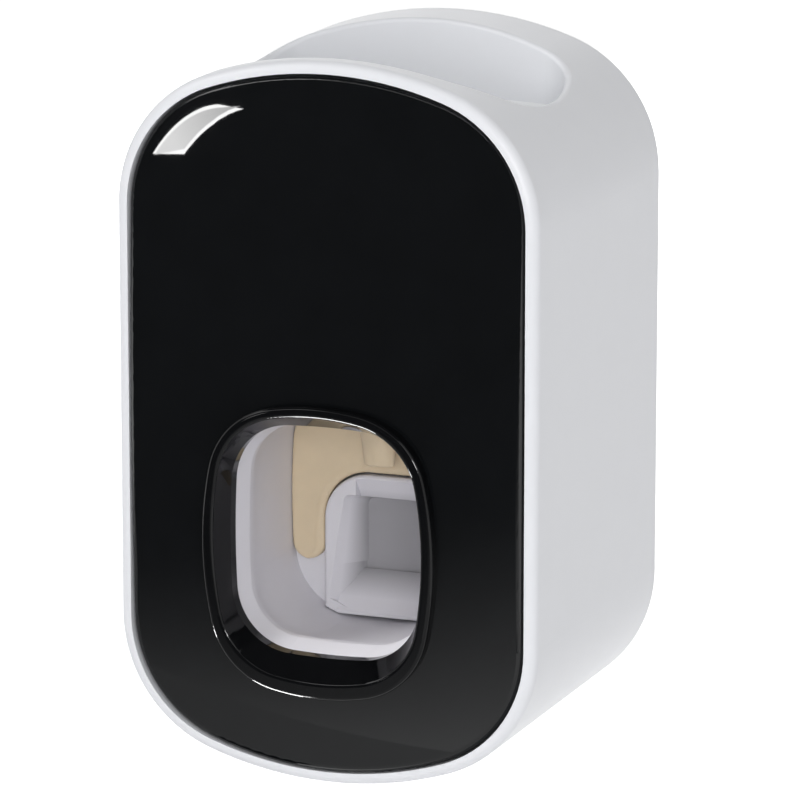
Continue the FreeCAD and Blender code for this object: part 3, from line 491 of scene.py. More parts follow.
def softened(piece: bpy.types.Object, width: float, segments: int, angle: float) -> None:
    """Round the sharp edges of a piece.

    Args:
        piece: the piece.
        width: the width of the rounding in millimetres.
        segments: how many faces make up the rounding.
        angle: edges that fold by more than this many degrees are rounded.
    """
    bevel = piece.modifiers.new("edges", "BEVEL")
    bevel.width = width * MM
    bevel.segments = segments
    bevel.limit_method = "ANGLE"
    bevel.angle_limit = math.radians(angle)
    bevel.harden_normals = True


def arc(centre: Point, radius: float, start: float, end: float, steps: int) -> list[Point]:
    """Points along an arc, both ends included.

    Args:
        centre: the arc's centre.
        radius: its radius.
        start: the first angle in degrees.
        end: the last angle in degrees.
        steps: how many pieces it is divided into.

    Returns:
        The points in order.
    """
    points = []
    for step in range(steps + 1):
        angle = math.radians(start + (end - start) * step / steps)
        points.append((centre[0] + radius * math.cos(angle), centre[1] + radius * math.sin(angle)))
    return points


def resampled(points: Sequence[Point], count: int) -> list[Point]:
    """Divide a line of points into equal steps.

    Args:
        points: the line's corners.
        count: how many points to give.

    Returns:
        Evenly spaced points from the first corner to the last.
    """
    lengths = [0.0]
    for here, there in zip(points, points[1:]):
        lengths.append(lengths[-1] + math.dist(here, there))
    result = []
    place = 0
    for step in range(count):
        target = lengths[-1] * step / (count - 1)
        while place < len(points) - 2 and lengths[place + 1] < target:
            place += 1
        span = lengths[place + 1] - lengths[place]
        share = (target - lengths[place]) / span
        here, there = points[place], points[place + 1]
        result.append((here[0] + (there[0] - here[0]) * share, here[1] + (there[1] - here[1]) * share))
    return result


# Materials made so far, by name
MADE: dict[str, bpy.types.Material] = {}


def dressed(node: str, finish: Finish) -> None:
    """Give a CAD node its finish.

    Args:
        node: the node's name.
        finish: the finish.
    """
    paint(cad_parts[node], finish)
    LOG.info("dressed %s in %s", node, finish.name)


def paint(piece: bpy.types.Object, finish: Finish) -> None:
    """Put a finish on a piece, making its material the first time.

    Args:
        piece: the piece.
        finish: the finish.
    """
    if finish.name not in MADE:
        MADE[finish.name] = finish.material()
    piece.data.materials.clear()
    piece.data.materials.append(MADE[finish.name])


def placed(piece: bpy.types.Object, finish: Finish, body: Body, node: str) -> bpy.types.Object:
    """Paint a modelled piece, put it in a CAD node's place and let it ride on a body.

    Args:
        piece: the piece.
        finish: its finish.
        body: the body that it rides on.
        node: the node that it stands for.

    Returns:
        The piece.
    """
    paint(piece, finish)
    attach(piece, body.value)
    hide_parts(node)
    LOG.info("modelled %s for %s on %s", piece.name, node, body.value)
    return piece


# The part

class Assembly:
    """A sub-assembly: some pieces are modelled here, and the others are dressed as they are."""

    def build(self) -> None:
        """Model the pieces that are modelled here, none by default."""

    def dress(self) -> None:
        """Give the other nodes their finishes, none by default."""


@dataclass
class Sleeve(Assembly):
    """The white sleeve and its rear cover."""

    def dress(self) -> None:
        """Give the sleeve's nodes their finishes."""
        dressed("main_housing", WHITE_GLOSS)
        dressed("back_plate", WHITE_GLOSS)


@dataclass
class FrontCover(Assembly):
    """The glossy black cover: its crowned panel, its bezel and the carrier behind them."""

    def dress(self) -> None:
        """Give the cover's nodes their finishes."""
        dressed("fascia_panel", BLACK_GLOSS)
        dressed("window_bezel", BEZEL_GLOSS)
        dressed("cover_carrier", CARRIER_BLACK)


@dataclass
class BrushBay(Assembly):
    """The brush chamber with its seal, pusher, hinge, spring and nozzle."""

    seal_half_x: float = 22.7
    seal_half_z: float = 25.8
    seal_corner: float = 14.2
    seal_side_radius: float = 219.9
    seal_end_radius: float = 127.9
    window_centre_z: float = -24.5
    seal_front_y: float = -40.25
    seal_back_y: float = -38.25
    way_half_x: float = 15.1
    way_top_z: float = -18.25
    way_radius: float = 10.4
    leg_tip_z: float = -38.4
    seal_edge: float = 0.55
    seal_edge_share: float = 0.4
    seal_full_width: float = 4.0
    seal_steps: int = 120
    side_steps: int = 24
    corner_steps: int = 16
    end_steps: int = 12
    tip_angles: tuple[int, int, int] = (84, 0, -12)
    section_shares: tuple[float, ...] = (0.0, 0.02, 0.06, 0.12, 0.3, 0.5, 0.94, 0.98, 1.0)
    bead_height: float = 0.15
    bead_half_width: float = 0.9
    bead_inset: float = 1.5
    nozzle_y: float = -46.3
    nozzle_top_z: float = 3.7
    nozzle_round_z: float = -3.0
    nozzle_tip_z: float = -14.8
    nozzle_radius: float = 4.5
    nozzle_bore: float = 3.2
    nozzle_tip: Point = (3.4, 1.7)
    nozzle_slot: Point = (2.75, 0.57)
    nozzle_lip: float = 0.45
    nozzle_lip_rise: float = 0.3
    nozzle_lip_draw: float = 0.25
    nozzle_shares: tuple[float, ...] = (0.1, 0.2, 0.35, 0.5, 0.65, 0.8, 0.9, 0.96)
    nozzle_steps: int = 64
    pin_y: float = -34.75
    pin_z: float = -48.0
    spring_wire: float = 0.6
    spring_radius: float = 1.85
    spring_pitch: float = 1.15
    spring_turns: int = 4
    spring_leg: float = 9.0
    spring_anchor_leg: float = 5.0
    spring_leg_steps: int = 7
    spring_turn_steps: int = 32
    spring_wire_steps: int = 12

    def build(self) -> None:
        """Model the soft pieces and the spring."""
        placed(self.seal(), CREAM_SILICONE, Body.DISPENSER, "wiper_seal")
        placed(self.nozzle(), CREAM_SILICONE, Body.DISPENSER, "nozzle")
        spring = self.spring()
        paint(spring, STEEL)
        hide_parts("pusher_spring")
        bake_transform(spring)
        LOG.info("modelled %s between %s and %s", spring.name, Body.DISPENSER.value, Body.PUSHER_CUP.value)

    def dress(self) -> None:
        """Give the bay's other nodes their finishes."""
        dressed("brush_chamber", CHAMBER_WHITE)
        dressed("pusher", PUSHER_GREY)
        dressed("pusher_pin", STEEL)
        dressed("nozzle_collar", INNER_PLASTIC)

    def outer_line(self) -> list[Point]:
        """The seal's outer line, from its left leg over the top to its right leg.

        Returns:
            The line's points in order.
        """
        half_x, corner = self.seal_half_x, self.seal_corner
        side_centre = half_x - self.seal_side_radius
        end_centre = self.seal_half_z - self.seal_end_radius
        side_reach = self.seal_side_radius - corner
        end_reach = self.seal_end_radius - corner
        apart = math.hypot(side_centre, end_centre)
        along = (side_reach ** 2 - end_reach ** 2 + apart ** 2) / (2 * apart)
        aside = math.sqrt(side_reach ** 2 - along ** 2)
        unit = (-side_centre / apart, end_centre / apart)
        centre = (side_centre + along * unit[0] - aside * unit[1], along * unit[1] + aside * unit[0])
        side_angle = math.degrees(math.atan2(centre[1], centre[0] - side_centre))
        end_angle = math.degrees(math.atan2(centre[1] - end_centre, centre[0]))
        foot = self.leg_round_z() - self.window_centre_z
        foot_angle = math.degrees(math.asin(foot / self.seal_side_radius))
        right = arc((side_centre, 0.0), self.seal_side_radius, foot_angle, side_angle, self.side_steps)
        right += arc(centre, corner, side_angle, end_angle, self.corner_steps)[1:]
        right += arc((0.0, end_centre), self.seal_end_radius, end_angle, 90.0, self.end_steps)[1:]
        left = [(-x, z) for x, z in right]
        line = left + right[-2::-1]
        return [(x, z + self.window_centre_z) for x, z in line]

    def leg_round_z(self) -> float:
        """The height at which the rounding of the seal's legs begins."""
        return self.leg_tip_z + (self.seal_half_x - self.way_half_x) / 2

    def inner_line(self) -> list[Point]:
        """The seal's inner line, from its left leg over the arch to its right leg.

        Returns:
            The line's points in order.
        """
        shoulder = self.way_top_z - self.way_radius
        line = [(self.way_half_x, self.leg_round_z())]
        centre = (self.way_half_x - self.way_radius, shoulder)
        line += arc(centre, self.way_radius, 0.0, 90.0, self.corner_steps)
        left = [(-x, z) for x, z in line]
        return left + line[::-1]

    def seal(self) -> bpy.types.Object:
        """Model the inverted U of silicone, with rounded edges and a bead along the arch.

        Returns:
            The seal.
        """
        outer = resampled(self.outer_line(), self.seal_steps)
        inner = resampled(self.inner_line(), self.seal_steps)
        middle = (outer[0][0] + inner[0][0]) / 2
        half = abs(outer[0][0] - inner[0][0]) / 2
        tips = []
        for angle in range(*self.tip_angles):
            turn = math.radians(angle)
            z = self.leg_round_z() - half * math.sin(turn)
            tips.append(((middle - half * math.cos(turn), z), (middle + half * math.cos(turn), z)))
        mirrored = [((-a[0], a[1]), (-b[0], b[1])) for a, b in reversed(tips)]
        stations = tips + list(zip(outer, inner)) + mirrored
        mesh = bmesh.new()
        rings = [self.seal_section(far, near) for far, near in stations]
        rows = skinned(mesh, rings, closed=False)
        mesh.faces.new(rows[0])
        mesh.faces.new(rows[-1])
        return linked("wiper_seal_soft", mesh)

    def seal_section(self, outer: Point, inner: Point) -> list[Vector]:
        """One section across the seal, from its outer to its inner line and back behind.

        Args:
            outer: the section's outer end.
            inner: its inner end.

        Returns:
            The section's points in order.
        """
        width = math.dist(outer, inner)
        thickness = self.seal_back_y - self.seal_front_y
        edge = min(self.seal_edge, width * self.seal_edge_share)
        shares = list(self.section_shares)
        for step in range(-1, 4):
            inset = self.bead_inset + step * self.bead_half_width / 3
            shares.append(1 - inset / max(width, self.seal_full_width))
        front = []
        for share in sorted(shares):
            near = min(share, 1 - share) * width
            drop = 0.0
            if near < edge:
                drop = edge - math.sqrt(edge ** 2 - (edge - near) ** 2)
            off = ((1 - share) * width - self.bead_inset) / self.bead_half_width
            rise = self.bead_height * math.exp(-2 * off ** 2) * min(1.0, width / self.seal_full_width)
            place = (outer[0] + (inner[0] - outer[0]) * share, outer[1] + (inner[1] - outer[1]) * share)
            depth = self.seal_front_y + self.bead_height + min(drop, thickness / 2) - rise
            front.append(Vector((place[0], depth, place[1])))
        back = [Vector((inner[0], self.seal_back_y, inner[1])),
                Vector((outer[0], self.seal_back_y, outer[1]))]
        return front + back

    def nozzle(self) -> bpy.types.Object:
        """Model the duckbill: round above, flattened to a slotted tip with soft lips.

        Returns:
            The nozzle.
        """
        outside = self.nozzle_rings(self.nozzle_radius, self.nozzle_tip, self.nozzle_lip)
        inside = self.nozzle_rings(self.nozzle_bore, self.nozzle_slot, 0.0)
        mesh = bmesh.new()
        skinned(mesh, outside + inside[::-1], closed=True)
        return linked("nozzle_soft", mesh)

    def nozzle_rings(self, radius: float, tip: Point, lip: float) -> list[list[Vector]]:
        """Rings of the nozzle from its top to its tip.

        Args:
            radius: the radius of the round part.
            tip: the half sizes of the oval tip.
            lip: how far the tip's edge is rounded.

        Returns:
            The rings, each a list of points.
        """
        levels = [(self.nozzle_top_z, 0.0, 0.0), (self.nozzle_round_z, 0.0, 0.0)]
        fall = self.nozzle_round_z - self.nozzle_tip_z
        for share in self.nozzle_shares:
            levels.append((self.nozzle_round_z - share * fall, share, 0.0))
        if lip:
            levels.append((self.nozzle_tip_z + lip * self.nozzle_lip_rise, 1.0, lip * self.nozzle_lip_draw))
        levels.append((self.nozzle_tip_z, 1.0, lip))
        rings = []
        for z, share, inset in levels:
            ease = share * share * (3 - 2 * share)
            half_x = radius + (tip[0] - radius) * ease - inset
            half_y = radius + (tip[1] - radius) * ease - inset
            ring = []
            for step in range(self.nozzle_steps):
                angle = 2 * math.pi * step / self.nozzle_steps
                ring.append(Vector((half_x * math.cos(angle), self.nozzle_y + half_y * math.sin(angle), z)))
            rings.append(ring)
        return rings

    def spring(self) -> bpy.types.Object:
        """Model the torsion spring as one wire with two straight legs.

        Returns:
            The spring.
        """
        lean = self.spring_pitch / (2 * math.pi * self.spring_radius)
        along = Vector((lean, 0.0, 1.0))
        start = self.coil_place(0.0)
        end = self.coil_place(float(self.spring_turns))
        legs = self.spring_leg_steps
        path = [start - along * self.spring_anchor_leg * (1 - step / legs) for step in range(legs)]
        for step in range(self.spring_turn_steps * self.spring_turns + 1):
            path.append(self.coil_place(step / self.spring_turn_steps))
        path += [end + along * self.spring_leg * step / legs for step in range(1, legs + 1)]
        mesh = bmesh.new()
        rings = []
        side = Vector((1.0, 0.0, 0.0))
        for place, point in enumerate(path):
            ahead = path[min(place + 1, len(path) - 1)] - path[max(place - 1, 0)]
            ahead.normalize()
            across = (side - ahead * side.dot(ahead)).normalized()
            other = ahead.cross(across)
            ring = []
            for step in range(self.spring_wire_steps):
                angle = 2 * math.pi * step / self.spring_wire_steps
                outward = across * math.cos(angle) + other * math.sin(angle)
                ring.append(point + outward * self.spring_wire / 2)
            rings.append(ring)
        rows = skinned(mesh, rings, closed=False)
        mesh.faces.new(rows[0])
        mesh.faces.new(rows[-1])
        return linked("pusher_spring_wire", mesh)

    def coil_place(self, turn: float) -> Vector:
        """A point on the coil after a number of turns."""
        angle = 2 * math.pi * turn
        return Vector(((turn - self.spring_turns / 2) * self.spring_pitch,
                       self.pin_y + self.spring_radius * math.cos(angle),
                       self.pin_z + self.spring_radius * math.sin(angle)))


@dataclass
class Pump(Assembly):
    """The manifold, the soft dome, its clamp ring and the inlet flap."""

    bulb_z: float = -33.0
    front_y: float = -22.25
    tip_y: float = -31.65
    dome_radius: float = 10.4
    dome_wall: float = 1.2
    flange_radius: float = 12.6
    flange_thickness: float = 1.5
    flange_edge: float = 0.15
    ripple_depth: float = 0.18
    ripple_rate: float = 7.5
    pad_foot: Point = (2.6, 0.34)
    pad_edge: Point = (2.4, 0.05)
    tip_radius: float = 0.05
    skin_angles: tuple[int, int, int] = (84, 12, -6)
    bore_angles: tuple[int, int, int] = (10, 78, 8)
    squeezed_share: float = 0.45
    neck_y: float = -28.0
    valve_low_z: float = 14.0
    valve_thickness: float = 1.0
    valve_radius: float = 10.0
    flap_radius: float = 5.0
    flap_slit: float = 0.6
    hinge_angle: float = 90.0
    hinge_half_angle: float = 26.0
    flap_rings: tuple[float, ...] = (0.6, 2.0, 3.5)
    disc_ring: float = 7.5
    disc_steps: int = 72
    disc_edge: float = 0.15
    disc_edge_faces: int = 2
    disc_edge_angle: float = 50.0

    def build(self) -> None:
        """Model the dome and the inlet flap."""
        bulb = placed(self.dome(), CREAM_SILICONE, Body.DISPENSER, "pump_bulb")
        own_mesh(bulb)
        placed(self.flap(), CLEAR_SILICONE, Body.DISPENSER, "inlet_valve")

    def dress(self) -> None:
        """Give the pump's other nodes their finishes."""
        dressed("pump_body", INNER_PLASTIC)
        dressed("bulb_retainer", INNER_PLASTIC)

    def dome(self) -> bpy.types.Object:
        """Model the dome with a pressing pad at its tip, a soft step and a clamped flange.

        Returns:
            The dome.
        """
        rise = self.front_y - self.tip_y
        ball = (self.dome_radius ** 2 + rise ** 2) / (2 * rise)
        centre = self.tip_y + ball
        foot_y = self.front_y + self.flange_thickness
        mouth = self.dome_radius - 2 * self.dome_wall
        inner = ball - self.dome_wall
        profile = [(self.flange_radius, foot_y),
                   (self.flange_radius, self.front_y + self.flange_edge),
                   (self.flange_radius - self.flange_edge, self.front_y),
                   (self.dome_radius, self.front_y)]
        for angle in range(*self.skin_angles):
            turn = math.radians(angle)
            reach = ball - abs(self.ripple_depth * math.sin(turn * self.ripple_rate))
            profile.append((reach * math.sin(turn), centre - reach * math.cos(turn)))
        for radius, drop in (self.pad_foot, self.pad_edge, (self.tip_radius, 0.0)):
            profile.append((radius, self.tip_y + drop))
        profile.append((self.tip_radius, centre - inner))
        for angle in range(*self.bore_angles):
            turn = math.radians(angle)
            profile.append((inner * math.sin(turn), centre - inner * math.cos(turn)))
        profile += [(mouth, self.front_y), (mouth, foot_y)]
        return turned("pump_bulb_soft", profile, Vector((0.0, 0.0, self.bulb_z)), Axis.Y)

    def flap(self) -> bpy.types.Object:
        """Model the disc with its C-shaped slit and the flap inside it.

        Returns:
            The disc.
        """
        radii = [*self.flap_rings, self.flap_radius, self.flap_radius + self.flap_slit, self.disc_ring,
                 self.valve_radius]
        steps = self.disc_steps
        mesh = bmesh.new()
        rows = []
        for radius in radii:
            row = []
            for step in range(steps):
                angle = 2 * math.pi * step / steps
                y = self.neck_y + radius * math.sin(angle)
                row.append(mesh.verts.new(Vector((radius * math.cos(angle), y, self.valve_low_z)) * MM))
            rows.append(row)
        mesh.faces.new(rows[0])
        for place in range(len(radii) - 1):
            for step in range(steps):
                off_hinge = abs(360.0 * (step + 0.5) / steps - self.hinge_angle)
                if radii[place] == self.flap_radius and off_hinge > self.hinge_half_angle:
                    continue
                after = (step + 1) % steps
                mesh.faces.new((rows[place][step], rows[place][after], rows[place + 1][after],
                                rows[place + 1][step]))
        lower = list(mesh.faces)
        raised = bmesh.ops.extrude_face_region(mesh, geom=lower)
        for item in raised["geom"]:
            if isinstance(item, bmesh.types.BMVert):
                item.co.z += self.valve_thickness * MM
        piece = linked("inlet_valve_soft", mesh)
        softened(piece, self.disc_edge, self.disc_edge_faces, self.disc_edge_angle)
        return piece


@dataclass
class TubeWell(Assembly):
    """The funnel under the mouth with the soft ring and the nut at its foot."""

    neck_y: float = -28.0
    seal_foot_z: float = 15.0
    seal_land_z: float = 23.0
    seal_rim_z: float = 24.4
    neck_radius: float = 7.0
    flare: float = 1.4
    seal_radius: float = 10.0
    groove: float = 0.35
    ribs: int = 3
    rib_steps: int = 36
    ring_steps: int = 96
    foot_edge: float = 0.2
    rim_edge: float = 0.2
    flare_start: float = 0.5
    flare_share: float = 0.35
    lip_drop: float = 0.1
    lip_width: float = 0.15

    def build(self) -> None:
        """Model the soft ring."""
        placed(self.ring(), CLEAR_SILICONE, Body.DISPENSER, "neck_seal")

    def dress(self) -> None:
        """Give the well's nodes their finishes."""
        dressed("tube_well", WELL_WHITE)
        dressed("neck_collar", INNER_PLASTIC)

    def ring(self) -> bpy.types.Object:
        """Model the ring with three gripping ribs and a rounded way in.

        Returns:
            The ring.
        """
        profile = [(self.seal_radius, self.seal_foot_z),
                   (self.neck_radius + self.foot_edge, self.seal_foot_z)]
        low_z = self.seal_foot_z + self.foot_edge
        for step in range(self.rib_steps + 1):
            share = step / self.rib_steps
            wave = self.groove * (0.5 - 0.5 * math.cos(math.pi * (2 * self.ribs * share + 1)))
            z = low_z + share * (self.seal_land_z - low_z)
            profile.append((self.neck_radius + self.groove - wave, z))
        way_in = self.neck_radius + self.flare
        profile += [(self.neck_radius + self.flare_share * self.flare, self.seal_land_z + self.flare_start),
                    (way_in, self.seal_rim_z - self.lip_drop), (way_in + self.lip_width, self.seal_rim_z),
                    (self.seal_radius - self.rim_edge, self.seal_rim_z),
                    (self.seal_radius, self.seal_rim_z - self.rim_edge)]
        return turned("neck_seal_soft", profile, Vector((0.0, self.neck_y, 0.0)), Axis.Z, self.ring_steps)


@dataclass
class WallMount(Assembly):
    """The bracket that stays on the wall and the foam pad behind it."""

    pad_half_x: float = 20.0
    pad_half_z: float = 24.0
    pad_corner: float = 3.0
    pad_thickness: float = 1.0
    pad_pinch: float = 0.22
    pad_edge: tuple[Point, ...] = ((0.0, 0.12), (0.06, 0.02), (0.15, 0.0))
    pad_corner_steps: int = 10

    def build(self) -> None:
        """Model the foam pad."""
        pad = placed(self.pad(), PAD_FOAM, Body.WALL_MOUNT, "adhesive_pad")

    def dress(self) -> None:
        """Give the bracket its finish."""
        dressed("wall_bracket", BRACKET_PLASTIC)

    def pad(self) -> bpy.types.Object:
        """Model the pad: a rounded slab whose sides draw in between its two faces.

        Returns:
            The pad.
        """
        mesh = bmesh.new()
        rings = []
        far_edge = [(1 - share, inset) for share, inset in reversed(self.pad_edge)]
        for share, inset in [*self.pad_edge, (0.5, self.pad_pinch), *far_edge]:
            y = -self.pad_thickness + share * self.pad_thickness
            rings.append([Vector((x, y, z)) for x, z in self.outline(inset)])
        rows = skinned(mesh, rings, closed=False)
        mesh.faces.new(rows[0])
        mesh.faces.new(rows[-1])
        return linked("adhesive_pad_soft", mesh)

    def outline(self, inset: float) -> list[Point]:
        """The pad's outline.

        Args:
            inset: how far it is drawn in, in millimetres.

        Returns:
            The outline's points in order.
        """
        reach_x = self.pad_half_x - self.pad_corner
        reach_z = self.pad_half_z - self.pad_corner
        radius = self.pad_corner - inset
        points: list[Point] = []
        for centre, start in (((reach_x, reach_z), 0.0), ((-reach_x, reach_z), 90.0),
                              ((-reach_x, -reach_z), 180.0), ((reach_x, -reach_z), 270.0)):
            points += arc(centre, radius, start, start + 90.0, self.pad_corner_steps)
        return points


@dataclass
class Screws(Assembly):
    """The screws that hold the deck, the pump and the rear cover, each with a cross in its head."""

    shank_radius: float = 1.3
    head_radius: float = 2.6
    pan_height: float = 1.6
    pan_round: float = 0.8
    flush_edge: float = 0.08
    cross_reach: float = 1.3
    cross_half_width: float = 0.34
    cross_depth: float = 0.8
    cross_taper: float = 0.6
    thread_pitch: float = 1.0
    thread_depth: float = 0.22
    steps: int = 40
    pan_steps: int = 6
    sharp_angle: float = 40.0

    def build(self) -> None:
        """Model the screws of each group."""
        for node, head, inward in (("back_plate_screws", Head.PAN, -1), ("pump_screws", Head.PAN, -1),
                                   ("deck_screws", Head.FLUSH, 1)):
            placed(self.group(node, head, inward), STEEL, Body.DISPENSER, node)

    def group(self, node: str, head: Head, inward: int) -> bpy.types.Object:
        """Model all the screws of one node.

        Args:
            node: the node that they stand for.
            head: the form of their heads.
            inward: 1 if they point along +Y, -1 if they point along -Y.

        Returns:
            One piece with the whole group.
        """
        mesh = bmesh.new()
        for low, high in self.boxes(node):
            face_y = low.y if inward > 0 else high.y
            centre = Vector(((low.x + high.x) / 2, face_y, (low.z + high.z) / 2))
            self.screw(mesh, centre, inward, self.profile(head, high.y - low.y))
        piece = linked(node + "_crossed", mesh)
        piece.data.set_sharp_from_angle(angle=math.radians(self.sharp_angle))
        return piece

    def boxes(self, node: str) -> list[tuple[Vector, Vector]]:
        """The box of each screw in a node, which has one in each quarter.

        Args:
            node: the node.

        Returns:
            The lowest and highest corner of each, in millimetres.
        """
        low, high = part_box(node)
        middle_z = (low[2] + high[2]) / 2
        quarters: dict[tuple[bool, bool], list[Vector]] = {}
        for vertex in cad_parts[node].data.vertices:
            quarter = (vertex.co.x > 0, vertex.co.z > middle_z)
            quarters.setdefault(quarter, []).append(vertex.co / MM)
        corners = []
        for points in quarters.values():
            corners.append((Vector(map(min, zip(*points))), Vector(map(max, zip(*points)))))
        return corners

    def profile(self, head: Head, length: float) -> list[Point]:
        """Radius and depth below the head's face of each corner of a screw.

        Args:
            head: the form of the head.
            length: the length over all.

        Returns:
            The profile from the face to the tip.
        """
        if head is Head.PAN:
            centre = (self.head_radius - self.pan_round, -self.pan_round)
            points = [(x, -y) for x, y in arc(centre, self.pan_round, 90.0, 0.0, self.pan_steps)]
            points += [(self.head_radius, self.pan_height), (self.shank_radius, self.pan_height)]
        else:
            points = [(self.head_radius - self.flush_edge, 0.0), (self.head_radius, self.flush_edge),
                      (self.shank_radius, self.head_radius - self.shank_radius)]
        start = points[-1][1] + self.thread_pitch
        while start + self.thread_pitch < length:
            groove = (self.shank_radius - self.thread_depth, start + self.thread_pitch / 2)
            points += [(self.shank_radius, start), groove]
            start += self.thread_pitch
        return points + [(self.shank_radius, start), (self.shank_radius / 2, length)]

    def screw(self, mesh: bmesh.types.BMesh, centre: Vector, inward: int, profile: Sequence[Point]) -> None:
        """Add one screw to a mesh.

        Args:
            mesh: the mesh.
            centre: the middle of the head's face.
            inward: the sign of the direction in which it points along Y.
            profile: the radius and depth of each corner.
        """
        turns = [2 * math.pi * step / self.steps for step in range(self.steps)]
        rings = []
        for radius, depth in profile:
            ring = []
            for turn in turns:
                out = Vector((radius * math.cos(turn), inward * depth, radius * math.sin(turn)))
                ring.append(centre + out)
            rings.append(ring)
        rows = skinned(mesh, rings, closed=False)
        mesh.faces.new(rows[-1])
        floor = centre + Vector((0.0, inward * self.cross_depth, 0.0))
        cross = skinned(mesh, [self.cross(centre, 1.0), self.cross(floor, self.cross_taper)], closed=False)
        mesh.faces.new(cross[1])
        edges = []
        for ring in (rows[0], cross[0]):
            edges += [mesh.edges.get((here, there)) for here, there in zip(ring, ring[1:] + ring[:1])]
        bmesh.ops.triangle_fill(mesh, use_beauty=True, edges=edges)

    def cross(self, centre: Vector, scale: float) -> list[Vector]:
        """The outline of the cross in a screw's head.

        Args:
            centre: the middle of the cross.
            scale: its size as a share of its size at the face.

        Returns:
            The outline's points in order.
        """
        reach, half = self.cross_reach * scale, self.cross_half_width * scale
        arm = [(reach, -half), (reach, half), (half, half)]
        points = []
        for quarter in range(4):
            turn = quarter * math.pi / 2
            for x, z in arm:
                points.append(centre + Vector((x * math.cos(turn) - z * math.sin(turn), 0.0,
                                               x * math.sin(turn) + z * math.cos(turn))))
        return points


# The studio

@dataclass(frozen=True)
class Lamp:
    """A square light in metres and watts, what it points at and whether it shows in gloss."""

    name: str
    place: Place
    target: Place
    size: float
    power: float
    shines: bool = True


KEY = Lamp("key", (-1.1, -0.9, 1.2), (0.0, -0.04, 0.0), 1.0, 8.5)
RIGHT = Lamp("right", (1.3, -1.4, 1.0), (0.0, -0.04, -0.02), 0.8, 5.0)
FRONT = Lamp("front", (0.48, -1.50, 0.28), (0.0, -0.04, -0.02), 0.6, 9.0)
REAR = Lamp("rear", (-0.8, 1.5, 0.45), (0.0, -0.04, 0.0), 0.9, 13.0, shines=False)
WINDOW = Lamp("window", (-0.75, -1.00, 0.45), (0.0, -0.06, -0.03), 0.3, 10.0, shines=False)


def level(low: Point, high: Point, z: float) -> list[Place]:
    """Corners of a level card between two corners in plan, at z."""
    return [(low[0], low[1], z), (high[0], low[1], z), (high[0], high[1], z), (low[0], high[1], z)]


def upright(start: Point, end: Point, low_z: float, high_z: float) -> list[Place]:
    """Corners of an upright card over a line in plan, from low_z to high_z."""
    return [(*start, low_z), (*end, low_z), (*end, high_z), (*start, high_z)]


